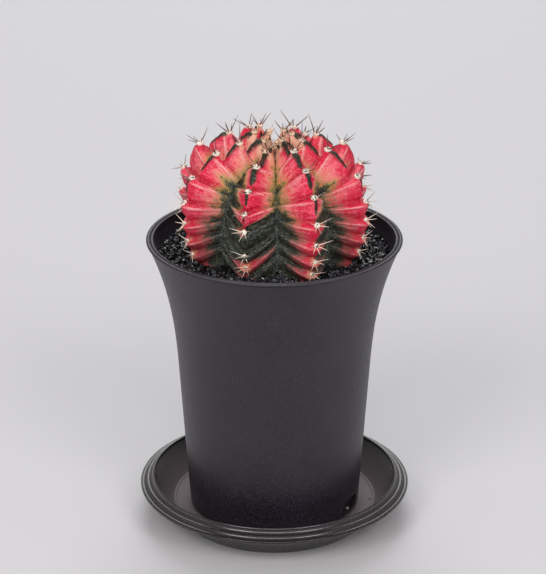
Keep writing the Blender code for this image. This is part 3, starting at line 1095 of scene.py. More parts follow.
RIBS = (
    Rib(-67.5, 0.95, 1.5, (2.0, 6.5, 15.0, 23.5, 35.0, 44.0, 51.5, 58.0, 63.5),
        Flank.grown(26, 0.55, 0.5),
        Flank(((12, 1.03), (26, 0.97), (28.5, 0.58), (31.5, 0.9), (34.5, 0.7), (38, 0.86),
               (48, 0.82), (52, 0.62), (62, 0.66), (68, 0.5))), -1),
    Rib(-20.0, 0.58, 6.0, (4.5, 10.5, 20.5, 32.5, 42.0, 49.5, 59.5, 64.5),
        Flank(((15, 1.03), (22, 0.85), (25, 0.5), (38, 0.4), (46, 0.3), (50, 0.22), (51.5, -0.3),
               (60.5, -0.3), (62, 0.25), (68, 0.3))),
        Flank(((22, 1.03), (26, 0.96), (33, 0.92), (44, 0.87), (47, 0.55), (48.5, -0.3),
               (63, -0.3), (64.5, 0.8), (67.5, 0.85), (69, 0.1))), -1),
    Rib(24.0, 1.10, 0.5, (3.5, 9.5, 18.0, 27.5, 36.5, 45.0, 52.0, 58.0, 63.5),
        Flank(((19, 1.02), (23, 0.95), (25, 0.76), (27.5, 0.92), (38, 0.88), (42, 0.7),
               (46, 0.5), (64, 0.46), (68, 0.35))),
        Flank(((16, 1.03), (24, 0.9), (28, 0.4), (33, 0.2), (50, 0.15), (68, 0.12)))),
    Rib(67.5, 1.00, 0.5, (4.5, 12.5, 21.5, 34.5, 43.5, 50.0, 56.5, 62.0),
        Flank(((22, 1.03), (29, 0.96), (31.5, 0.52), (34.5, 0.92), (42, 0.9), (47, 0.8),
               (52, 0.6), (62, 0.6), (68, 0.45))),
        Flank.grown(24, 0.5, 0.55)),
    Rib(112.5, 1.00, 1.0, (3.5, 9.0, 17.5, 28.0, 38.5, 47.0, 53.5, 59.0, 64.0),
        Flank.grown(30, 0.6, 0.55), Flank.grown(22, 0.45, 0.3), -1),
    Rib(157.5, 0.95, 1.0, (4.0, 10.5, 19.5, 30.5, 41.0, 49.0, 55.5, 61.5),
        Flank.grown(33, 0.7, 0.4), Flank.grown(27, 0.6, 0.5)),
    Rib(202.5, 1.05, 1.5, (2.5, 7.5, 15.5, 25.5, 36.0, 45.5, 53.0, 58.5, 64.0),
        Flank.grown(24, 0.5, 0.2), Flank.grown(36, 0.7, 0.45)),
    Rib(249.0, 1.10, 1.0, (4.0, 10.0, 18.5, 29.5, 40.0, 47.5, 54.0, 59.5, 64.5),
        Flank.grown(29, 0.6, 0.5), Flank.grown(25, 0.45, 0.4), -1),
)


@dataclass(frozen=True)
class Meridian:
    """A superellipse in the (radius, height) plane."""

    radius: float
    mid: float
    top: float
    bottom: float
    power: float

    def fill(self, points: np.ndarray) -> np.ndarray:
        """How far out points are.

        Args:
            points: (radius, height) points.

        Returns:
            Numbers under 1 inside the curve, 1 on it.
        """
        rise = points[..., 1] - self.mid
        half = np.where(rise > 0, self.top, self.bottom)
        return ((np.abs(points[..., 0]) / self.radius) ** self.power
                + (np.abs(rise) / half) ** self.power)


@dataclass
class PlantForm:
    """The plant's skin as a formula, by rib, share of the flank, and distance from the crown."""

    crest: Meridian = Meridian(33.4 * MM, 120.0 * MM, 22.4 * MM, 29.3 * MM, 2.5)
    furrow: Meridian = Meridian(25.8 * MM, 110.0 * MM, 27.2 * MM, 26.0 * MM, 2.2)
    crown_z: float = 137.2 * MM
    dimple_r: float = 3.3 * MM
    knot: Point = (14.0 * MM, 122.0 * MM)
    halvings: int = 36
    rounding: float = 0.16
    bare_from: float = 66.3 * MM
    end_z: float = 96.5 * MM
    margin: float = 5.0 * MM
    span: float = 9.0 * MM
    bumps: Point = (1.8 * MM, 0.8 * MM)
    peaks: Point = (-0.06, 0.2)
    notches: Point = (0.55, 0.9)
    notch_ages: Point = (0.05, 0.45)
    fullness: float = 0.8

    def __post_init__(self) -> None:
        """Measures the crest and carries each rib's areoles on past both ends."""
        self.turns = np.radians(np.arange(0.0, 178.0, 0.2))
        points = self.crest_curve(self.turns)
        steps = np.linalg.norm(np.diff(points, axis=0), axis=1)
        self.arcs = np.concatenate([[0.0], np.cumsum(steps)])
        last = int(np.argmax(points[:, 1] < self.end_z)) + 1
        self.turns, self.arcs = self.turns[:last], self.arcs[:last]
        self.areoles = [[arc * MM for arc in rib.areoles] for rib in RIBS]
        self.marks = []
        for arcs in self.areoles:
            marks = [2 * arcs[0] - arcs[1]] + arcs
            while marks[-1] < self.arcs[-1] + self.margin:
                marks.append(2 * marks[-1] - marks[-2])
            self.marks.append(np.array(marks))

    def crest_curve(self, turns: np.ndarray) -> np.ndarray:
        """The nominal crest, by turns from the crown.

        Args:
            turns: the turns, in radians.

        Returns:
            Its (radius, height) points.
        """
        bend = 2 / self.crest.power
        radius = self.crest.radius * np.sin(turns) ** bend
        cosine = np.cos(turns)
        half = np.where(cosine > 0, self.crest.top, -self.crest.bottom)
        dimple = self.crest.mid + self.crest.top - self.crown_z
        height = (self.crest.mid + half * np.abs(cosine) ** bend
                  - dimple * np.exp(-((radius / self.dimple_r) ** 2)))
        return np.stack([radius, height], -1)

    def crest_at(self, arcs: np.ndarray) -> np.ndarray:
        """The nominal crest's (radius, height) at distances from the crown."""
        return self.crest_curve(np.interp(arcs, self.arcs, self.turns))

    def furrow_at(self, crest: np.ndarray) -> np.ndarray:
        """Where the folds from the crest to the knot meet the furrow.

        Args:
            crest: (radius, height) points of the crest.

        Returns:
            The furrow's points.
        """
        way = np.array(self.knot) - crest
        near, far = np.zeros(crest.shape[:-1]), np.ones(crest.shape[:-1])
        for _ in range(self.halvings):
            share = (near + far) / 2
            inside = self.furrow.fill(crest + way * share[..., None]) < 1
            near, far = np.where(inside, near, share), np.where(inside, share, far)
        return crest + way * near[..., None]

    def level(self, rib: int, share: np.ndarray, arcs: np.ndarray) -> np.ndarray:
        """Distances from the crown, read along the folds as they climb to the furrows."""
        return arcs + RIBS[rib].climb * MM * np.abs(share)

    def phase(self, rib: int, share: np.ndarray, arcs: np.ndarray) -> np.ndarray:
        """How far points lie between the fold of one areole and the fold of the next, 0 to 1.

        Args:
            rib: the rib's number.
            share: shares of the flank, -1 to 1.
            arcs: distances from the crown, of the same shape.

        Returns:
            The shares of the way.
        """
        marks = self.marks[rib]
        level = self.level(rib, share, arcs)
        index = np.clip(np.searchsorted(marks, level, side="right"), 1, len(marks) - 1)
        return (level - marks[index - 1]) / (marks[index] - marks[index - 1])

    def notch(self, age: np.ndarray) -> np.ndarray:
        """The phase of the deepest notch: halfway down the young tubercles, just over the old."""
        return np.interp(age, self.notch_ages, self.notches)

    def tubercle(self, phase: np.ndarray, age: np.ndarray) -> np.ndarray:
        """Height of a tubercle.

        Args:
            phase: how far on its way to the next areole.
            age: its age, 0 to 1.

        Returns:
            Heights from -1 in its notch to 1 at its top.
        """
        peak = self.peaks[0] + (self.peaks[1] - self.peaks[0]) * age
        fall = self.notch(age) - peak
        beyond = (phase - peak) % 1.0
        wave = np.where(beyond < fall, 0.5 * beyond / fall,
                        0.5 + 0.5 * (beyond - fall) / (1 - fall))
        return 2 * np.abs(np.cos(math.pi * wave)) ** self.fullness - 1

    def bump(self, rib: int, share: np.ndarray, arcs: np.ndarray) -> np.ndarray:
        """How far a rib's tubercles stand out of its crest, or sink in.

        Args:
            rib: the rib's number.
            share: shares of the flank, -1 to 1.
            arcs: distances from the crown, of the same shape.

        Returns:
            The lengths.
        """
        level = self.level(rib, share, arcs)
        age = np.minimum(1.0, level / self.bare_from)
        height = ((self.bumps[0] + (self.bumps[1] - self.bumps[0]) * age)
                  * np.minimum(1.0, level / self.span))
        wave = self.tubercle(self.phase(rib, share, arcs), age)
        return height * wave * np.sqrt(1 - np.abs(share))

    def point(self, rib: int, share: np.ndarray, arcs: np.ndarray) -> np.ndarray:
        """Points of the skin at shares of the way from a rib's crest to its furrows.

        Args:
            rib: the rib's number.
            share: shares of the flank, -1 to 1.
            arcs: distances from the crown, of the same shape.

        Returns:
            Their places, with one more axis of three.
        """
        own = RIBS[rib]
        after = (RIBS[(rib + 1) % len(RIBS)].azimuth - own.azimuth) % 360 / 2
        before = (own.azimuth - RIBS[rib - 1].azimuth) % 360 / 2
        nominal = self.crest_at(arcs)
        furrow = self.furrow_at(nominal)
        grow = 1 + (own.depth - 1) * np.minimum(1.0, arcs / self.span)
        crest = furrow + (nominal - furrow) * grow[..., None]
        edge = self.rounding
        depth = (np.hypot(share, edge) - edge) / (math.hypot(1.0, edge) - edge)
        outward = nominal - np.array(self.knot)
        outward /= np.linalg.norm(outward, axis=-1, keepdims=True)
        place = (crest + (furrow - crest) * depth[..., None]
                 + outward * self.bump(rib, share, arcs)[..., None])
        turn = np.radians(own.azimuth + np.where(share > 0, after, before) * share)
        radius, height = place[..., 0], place[..., 1]
        return np.stack([radius * np.sin(turn), -radius * np.cos(turn), height], -1)

    def frame(self, rib: int, arc: float) -> tuple[Vector, Vector, Vector, Vector]:
        """Where an areole sits.

        Args:
            rib: the rib's number.
            arc: the areole's distance from the crown.

        Returns:
            Its place, its outward normal, its way down and its way across.
        """
        arcs = np.array([arc - 1.05 * MM, arc, arc + 2.1 * MM])
        above, place, below = (Vector(point) for point in self.point(rib, np.zeros(3), arcs))
        down = (below - above).normalized()
        turn = math.radians(RIBS[rib].azimuth + 90.0)
        across = Vector((math.sin(turn), -math.cos(turn), 0.0))
        return place, down.cross(across).normalized(), down, across


@dataclass
class Skin:
    """The plant's skin: fine folds, chins and notches over the form, and what its finish reads.

    Ages are 0 at the crown and 1 at the foot; phases run from one areole to the next; shares run
    from the crest to the furrow.
    """

    form: PlantForm
    half_columns: int = 28
    rows: int = 200
    crest_crowding: float = 1.3
    first_arc: float = 0.35 * MM
    root_rings: tuple[Point, ...] = ((18.0 * MM, 91.0 * MM), (10.5 * MM, 86.0 * MM),
                                     (5.5 * MM, 80.0 * MM), (2.6 * MM, 74.0 * MM))
    root_tip_z: float = 71.0 * MM
    valley_shift: float = 0.02
    pleats: Triple = (0.45 * MM, 0.95 * MM, 1.2 * MM)
    pleat_ages: Triple = (0.1, 0.4, 1.0)
    strip_arcs: tuple[float, ...] = (4, 10, 26, 30, 36, 42, 48)
    strip_widths: tuple[float, ...] = (0.3, 1.2, 1.25, 0.9, 0.65, 0.5, 0.0)
    finish: VariegatedSkin = VariegatedSkin()

    def columns(self) -> tuple[np.ndarray, np.ndarray]:
        """Each column's rib and share, from the first rib's left furrow round.

        Returns:
            The ribs' numbers and the shares.
        """
        half = np.linspace(0.0, 1.0, self.half_columns + 1) ** self.crest_crowding
        shares = np.concatenate([-half[::-1], half[1:]])[:-1]
        return np.repeat(np.arange(len(RIBS)), len(shares)), np.tile(shares, len(RIBS))

    def valley(self, age: np.ndarray) -> np.ndarray:
        """The phase of the valley between two pleats."""
        return self.form.notch(age) + self.valley_shift

    def fold(self, phase: np.ndarray, age: np.ndarray) -> np.ndarray:
        """A flank's pleat.

        Args:
            phase: how far from one areole's level to the next.
            age: its age.

        Returns:
            1 on the ridge at an areole's level, 0 in the valley of the notch above it.
        """
        valley = self.valley(age)
        after = (phase - valley) % 1.0
        rise = 1.14 - valley
        climb, fall = ramp(after, 0.0, rise), ramp(after, rise, 1 - rise)
        return np.where(after < rise, climb ** 1.4, 1 - fall ** 0.75)

    def greenness(self, rib: int, share: np.ndarray, arcs: np.ndarray) -> np.ndarray:
        """How green points are: the furrows' flames, which reach further along the pleat valleys,
        and a line in the valleys between old folds. The line is painted shade, and the reach
        along the valleys is partly the skin's markings, partly painted shade.

        Args:
            rib: the rib's number.
            share: shares of the flank.
            arcs: distances from the crown.

        Returns:
            Numbers over 0 where the skin is green.
        """
        own, flank = RIBS[rib], np.abs(share)
        phase = self.form.phase(rib, share, arcs)
        age = np.clip(arcs / self.form.bare_from, 0, 1.1)
        level = self.form.level(rib, share, arcs)
        edge = np.where(share > 0, own.right.edge(level), own.left.edge(level))
        old = ramp(age, 0.45, 0.25)
        # Green reaches further along the pleat valleys than over the ridges: partly the skin's
        # markings, partly painted shade.
        edge = edge + ((0.10 + 0.15 * old) * (self.fold(phase, age) - 0.45)
                       * ramp(1.05 - edge, 0.0, 0.25))
        green = np.where(flank < edge, (flank - edge) / np.maximum(edge, 0.3),
                         (flank - edge) * 1.4)
        # Painted shade: a green line in the valleys between old folds.
        crease = hump((phase - self.valley(age) + 0.5) % 1.0 - 0.5, 0.0, 0.035)
        return np.clip(green + 0.32 * crease * old * ramp(flank, 0.15, 0.5), -1.2, 1.2)

    def fields(self, rib: int, share: np.ndarray, arcs: np.ndarray) -> dict[str, np.ndarray]:
        """The numbers that the finish reads, at points of one rib.

        Args:
            rib: the rib's number.
            share: shares of the flank.
            arcs: distances from the crown.

        Returns:
            Arrays by attribute name.
        """
        flank = np.abs(share)
        phase = self.form.phase(rib, share, arcs)
        age = np.clip(arcs / self.form.bare_from, 0, 1.1)
        reach = flank * self.form.crest_at(arcs)[..., 0] * math.radians(22.5)
        off = np.min(np.abs(arcs[..., None] - np.array(self.form.areoles[rib])), axis=-1)
        wide = np.interp(age, (0.1, 0.3), (3.2, 2.2)) * MM
        half = np.interp(arcs / MM, self.strip_arcs, self.strip_widths) * MM
        end = np.interp(age, (0.1, 0.35, 0.6), (0.85, 0.72, 0.62))
        taper = ramp(end - phase, 0.0, 0.14) ** 0.5 * ramp(phase, 0.02, 0.05)
        half = np.maximum(half * (taper * (0.75 + 0.45 * phase)), 0.02 * MM)
        return {"flank": flank, "fold": self.fold(phase, age), "age": age,
                "green": self.greenness(rib, share, arcs),
                "near": np.exp(-((off / wide) ** 2 + (reach / wide) ** 2)),
                "strip": np.where(half > 0.03 * MM, np.clip(1 - reach / half, -1, 1), -1.0)}

    def relief(self, rib: int, share: np.ndarray, arcs: np.ndarray) -> np.ndarray:
        """Fine relief over the form: pleats across the flanks, chins and notches on the crest.

        Args:
            rib: the rib's number.
            share: shares of the flank.
            arcs: distances from the crown.

        Returns:
            How far the points stand out.
        """
        phase = self.form.phase(rib, share, arcs)
        flank = np.abs(share)
        age = np.clip(arcs / self.form.bare_from, 0, 1)
        depth = np.interp(age, self.pleat_ages, self.pleats)
        spread = ramp(flank, 0.0, 0.22) ** 0.8 * ramp(1 - flank, 0.0, 0.25) ** 0.7
        pleats = depth * spread * (self.fold(phase, age) - 0.5)
        minor = 0.16 * MM * spread * hump(phase, 0.48, 0.07)
        minor += 0.08 * MM * spread * np.sin(arcs / (0.55 * MM) + 5 * flank + rib)
        crest = hump(flank, 0.0, 0.2)
        chin = np.interp(age, (0.3, 0.5), (0.6, 0.4)) * MM * crest * hump(phase, 0.2, 0.13)
        cut = np.interp(age, (0.3, 0.5), (1.1, 0.5))
        width = np.interp(age, (0.3, 0.5), (0.1, 0.06))
        off = (phase - self.form.notch(age) + 0.5) % 1.0 - 0.5
        notch = -cut * MM * crest * hump(off, 0.0, width)
        swell = 0.22 * MM * np.sin(arcs / (5.1 * MM) + 2.3 * rib) * np.cos(2.6 * share + rib)
        buried = ramp(self.form.bare_from + 1.5 * MM - arcs, 0.0, 2 * MM)
        return ((pleats + minor + chin + notch + swell) * buried
                * np.clip(arcs / (8 * MM), 0.1, 1))

    def build(self) -> Piece:
        """Shapes a grid into the skin, closes it at the crown and the root, and dresses it.

        Returns:
            The finished piece.
        """
        ribs, shares = self.columns()
        arcs = np.linspace(self.first_arc, self.form.arcs[-1], self.rows)
        count = len(shares)
        places, lift = np.zeros((self.rows, count, 3)), np.zeros((self.rows, count))
        values: dict[str, np.ndarray] = {}
        for rib in range(len(RIBS)):
            own = ribs == rib
            share, arc = np.meshgrid(shares[own], arcs)
            places[:, own] = self.form.point(rib, share, arc)
            lift[:, own] = self.relief(rib, share, arc)
            for name, layer in self.fields(rib, share, arc).items():
                values.setdefault(name, np.zeros((self.rows, count)))[:, own] = layer
        places += self.normals(places) * lift[..., None]
        table = np.concatenate([places, self.root(places[-1])])
        pole = np.tile([0.0, 0.0, self.form.crown_z], (1, count, 1))
        table = np.concatenate([pole, table])
        item = self.grid(np.concatenate([table, table[:, :1]], axis=1))
        extra = len(table) - 1 - self.rows
        for name, layer in values.items():
            layer = np.concatenate([layer[:1], layer, np.repeat(layer[-1:], extra, axis=0)])
            add_attribute(item.data, name, np.concatenate([layer, layer[:, :1]], axis=1))
        self.map_surface(item, np.concatenate([[0.0], arcs, np.full(extra, arcs[-1])]),
                         np.concatenate([ribs + (shares + 1) / 2, [len(RIBS)]]))
        with editing(item):
            close_up()
        hand_over(item, 80.0, self.finish.build(), Slot.PLANT, "cactus")
        return item

    def root(self, last: np.ndarray) -> np.ndarray:
        """The rows of the buried base and root, below the skin's last row.

        Args:
            last: the last row's places.

        Returns:
            The rows' places, down to the tip.
        """
        rows = []
        for radius, height in self.root_rings:
            ring = last.copy()
            ring[:, :2] *= (radius / np.linalg.norm(ring[:, :2], axis=1))[:, None]
            ring[:, 2] = height
            rows.append(ring)
        return np.array(rows + [np.tile([0.0, 0.0, self.root_tip_z], (len(last), 1))])

    @staticmethod
    def normals(places: np.ndarray) -> np.ndarray:
        """Outward normals of a closed band of rows.

        Args:
            places: the rows' places.

        Returns:
            A normal for each.
        """
        across = np.roll(places, -1, axis=1) - np.roll(places, 1, axis=1)
        normal = np.cross(np.gradient(places, axis=0), across)
        return normal / np.maximum(np.linalg.norm(normal, axis=-1, keepdims=True), 1e-12)

    @staticmethod
    def grid(table: np.ndarray) -> Piece:
        """A grid primitive whose vertices are moved to a table of places.

        Args:
            table: rows of places.

        Returns:
            The grid.
        """
        rows, columns = table.shape[:2]
        deselect()
        bpy.ops.mesh.primitive_grid_add(x_subdivisions=columns - 1, y_subdivisions=rows - 1,
                                        size=1.0)
        item = named("cactus_skin")
        item.data.vertices.foreach_set("co", table.astype(np.float32).ravel())
        item.data.update()
        return item

    @staticmethod
    def map_surface(item: Piece, arcs: np.ndarray, turns: np.ndarray) -> None:
        """Sets the UV map: one unit per rib round the plant, and one per centimetre down it.

        Args:
            item: the skin.
            arcs: each row's distance from the crown.
            turns: each column's place round the plant, in ribs.
        """
        table = np.stack(np.meshgrid(turns, arcs / (10 * MM)), -1).reshape(-1, 2)
        corners = np.zeros(len(item.data.loops), np.int32)
        item.data.loops.foreach_get("vertex_index", corners)
        item.data.uv_layers.active.data.foreach_set(
            "uv", table[corners].astype(np.float32).ravel())


@dataclass
class Areoles:
    """The wool pads along every rib, and the spines that fan out of them.

    Fans hold each spine's turn from the way down, its tilt from the normal and its share of the
    full length; the young areoles' fans change into the old ones'.
    """

    form: PlantForm
    pad_ages: tuple[float, ...] = (0.0, 0.15, 0.3, 0.45, 0.62, 0.8, 1.0)
    pad_sizes: tuple[float, ...] = (1.1, 1.25, 1.5, 1.5, 1.2, 0.95, 0.75)
    hairs: int = 34
    young_hairs: int = 30
    hair_radius: float = 0.06 * MM
    young_fans: tuple[Triple, ...] = (
        (-118, 40, 1.0), (118, 36, 0.95), (-40, 44, 0.5), (44, 48, 0.95), (178, 12, 0.45))
    old_fans: tuple[Triple, ...] = (
        (-100, 66, 1.15), (-64, 60, 0.8), (-8, 66, 0.8), (40, 62, 0.72), (96, 58, 0.55))
    fan_turn: float = 9.0
    fan_tilt: float = 8.0
    lengths: Point = (8.6 * MM, 4.2 * MM)
    crown_arcs: Triple = (2, 8, 13)
    crown_lengths: Triple = (0.22, 0.45, 1.0)
    lowest_z: float = 102.3 * MM
    top_z: float = 0.0

    def __post_init__(self) -> None:
        """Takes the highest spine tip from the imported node."""
        self.top_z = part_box("cactus")[1].z

    def pad_size(self, age: float) -> float:
        """The radius of a pad of an age."""
        return float(np.interp(age, self.pad_ages, self.pad_sizes)) * MM

    def pad_shape(self) -> Piece:
        """A flattened, dimpled cushion of unit size.

        Returns:
            The cushion, with "along" 0 in its middle and 1 at its edge.
        """
        deselect()
        bpy.ops.mesh.primitive_uv_sphere_add(segments=12, ring_count=7, radius=1.0)
        item = named("pad_shape")
        with editing(item):
            bpy.ops.transform.resize(value=(1.0, 1.0, 0.62))
        for vert in item.data.vertices:
            if vert.co.z > 0:
                vert.co.z -= 0.25 * math.exp(-((vert.co.xy.length / 0.4) ** 2))
        add_attribute(item.data, "along",
                      [vert.co.xy.length + (vert.co.z < 0) for vert in item.data.vertices])
        return item

    def needle_shape(self, name: str, sides: int, rings: int, bow: float, foot: float) -> Piece:
        """A tapering bowed needle along +Z of unit length and unit foot radius.

        Args:
            name: the shape's name.
            sides: facets round it.
            rings: lengths that it is cut into.
            bow: how far its middle stands off the straight line towards -Y, as a share of the
                length.
            foot: extra thickness at its foot.

        Returns:
            The needle, with "along" 0 at its foot and 1 at its tip.
        """
        deselect()
        before = 1.0 + foot
        bpy.ops.mesh.primitive_circle_add(vertices=sides, radius=before)
        item = named(name)
        with editing(item):
            for ring in range(1, rings + 1):
                share = ring / rings
                width = (1 - share) ** 0.7 * 0.92 + 0.08 + foot * max(0.0, 1 - 6 * share)
                bend = -bow * (math.sin(math.pi * share)
                               - math.sin(math.pi * (share - 1 / rings)))
                step = (0.0, bend, 1 / rings)
                bpy.ops.mesh.extrude_edges_move(TRANSFORM_OT_translate={"value": step})
                bpy.ops.transform.resize(value=(width / before, width / before, 1.0))
                before = width
            bpy.ops.mesh.merge(type="CENTER")
            bpy.ops.mesh.select_all(action="SELECT")
            bpy.ops.mesh.normals_make_consistent(inside=False)
        add_attribute(item.data, "along", [vert.co.z for vert in item.data.vertices])
        return item

    @staticmethod
    def aimed(root: Vector, tip: Vector, width: float, roll: float) -> Matrix:
        """The matrix that takes a unit needle to a root and a tip.

        Args:
            root: where its foot goes.
            tip: where its tip goes.
            width: its foot's radius.
            roll: turn round its own length, in radians.

        Returns:
            The matrix.
        """
        way = tip - root
        turn = way.to_track_quat("Z", "Y").to_matrix().to_4x4()
        size = Matrix.Diagonal((width, width, way.length, 1.0))
        return Matrix.Translation(root) @ turn @ Matrix.Rotation(roll, 4, "Z") @ size

    def spine_tips(self, rib: int, index: int, arc: float) -> list[tuple[Vector, Vector]]:
        """Places an areole's spines: the young ones spread up and out, the old ones hang.

        Args:
            rib: the rib's number.
            index: the areole's number on its rib.
            arc: its distance from the crown.

        Returns:
            (root, tip) pairs.
        """
        place, normal, down, across = self.form.frame(rib, arc)
        age = min(1.0, arc / self.form.bare_from)
        draw = random.Random(f"areole_{rib + 1}_{index + 1}")
        share = min(1.0, max(0.0, (age - 0.25) / 0.3))
        side = -RIBS[rib].long_side
        full = ((self.lengths[0] + (self.lengths[1] - self.lengths[0]) * age)
                * float(np.interp(arc / MM, self.crown_arcs, self.crown_lengths)))
        pad = self.pad_size(age)
        pairs = []
        for young, old in zip(self.young_fans, self.old_fans):
            turn, tilt, length = (first + (last - first) * share
                                  for first, last in zip(young, old))
            turn = math.radians(turn * side + draw.uniform(-self.fan_turn, self.fan_turn))
            tilt = math.radians(tilt + draw.uniform(-self.fan_tilt, self.fan_tilt))
            lean = down * math.cos(turn) + across * math.sin(turn)
            root = place + lean * 0.4 * pad + normal * 0.25 * pad
            way = normal * math.cos(tilt) + lean * math.sin(tilt)
            tip = root + way * full * length * draw.uniform(0.82, 1.05)
            tip.z = min(max(tip.z, self.lowest_z), self.top_z)
            pairs.append((root, tip))
        return pairs

    def build(self) -> None:
        """Builds and dresses the pads and the spines."""
        pads, needles = [], []
        for rib, arcs in enumerate(self.form.areoles):
            for index, arc in enumerate(arcs):
                self.grow(rib, index, arc, pads, needles)
        shapes = [self.pad_shape(), self.needle_shape("hair_shape", 3, 3, 0.16, 0.0)]
        wool = scattered("areole_wool", shapes, pads)
        hand_over(wool, 60.0, Felt().build(), Slot.PLANT)
        shapes = [self.needle_shape(f"spine_{letter}", 6, 7, bow, 0.4)
                  for letter, bow in (("a", 0.03), ("b", 0.08), ("c", -0.05))]
        hand_over(scattered("spines", shapes, needles), 60.0, SpineHorn().build(), Slot.PLANT)

    def grow(self, rib: int, index: int, arc: float, pads: list[Copy],
             needles: list[Copy]) -> None:
        """Adds one areole's pad, hairs and spines to the lists of copies.

        Args:
            rib: the rib's number.
            index: the areole's number on its rib.
            arc: its distance from the crown.
            pads: the pads and hairs so far.
            needles: the spines so far.
        """
        place, normal, down, across = self.form.frame(rib, arc)
        age = arc / self.form.bare_from
        youth = max(0.0, 1 - 4 * age)
        draw = random.Random(f"wool_{rib + 1}_{index + 1}")
        size = self.pad_size(age) * draw.uniform(0.9, 1.08)
        axes = Matrix((across, -down, normal)).transposed().to_4x4()
        seat = Matrix.Translation(place + normal * 0.15 * size)
        spread = Matrix.Diagonal((size * 0.95, size * 0.88, size, 1.0))
        pads.append(Copy(0, seat @ axes @ spread, age))
        for _ in range(self.hairs + round(self.young_hairs * youth)):
            turn = draw.uniform(0, math.tau)
            reach = draw.uniform(0.25, 1.0) ** 0.6
            lean = down * math.cos(turn) + across * math.sin(turn)
            rise = 0.1 + 0.62 * math.sqrt(1 - min(1.0, reach) ** 2)
            root = place + lean * reach * size * 0.9 + normal * size * rise
            way = lean * draw.uniform(0.2, 1.0) * reach + normal * draw.uniform(0.4, 1.0)
            tip = root + way * draw.uniform(0.25, 0.6 + 0.6 * youth) * MM
            roll = draw.uniform(0, math.tau)
            pads.append(Copy(1, self.aimed(root, tip, self.hair_radius, roll), age))
        for root, tip in self.spine_tips(rib, index, arc):
            width = (0.25 - 0.11 * age) * MM * draw.uniform(0.85, 1.1)
            shape, roll = draw.randrange(3), draw.uniform(0, math.tau)
            tone = age + draw.uniform(-0.06, 0.06)
            needles.append(Copy(shape, self.aimed(root, tip, width, roll), tone))


# ---------------------------------------------------------------- grit

Cells = dict[tuple[int, int], list[Point]]


@dataclass(frozen=True)
class Layer:
    """One layer of grains: how many are thrown, and its lift, sizes and spacing in mm."""

    thrown: int
    lift: float
    smallest: float
    largest: float
    spacing: float


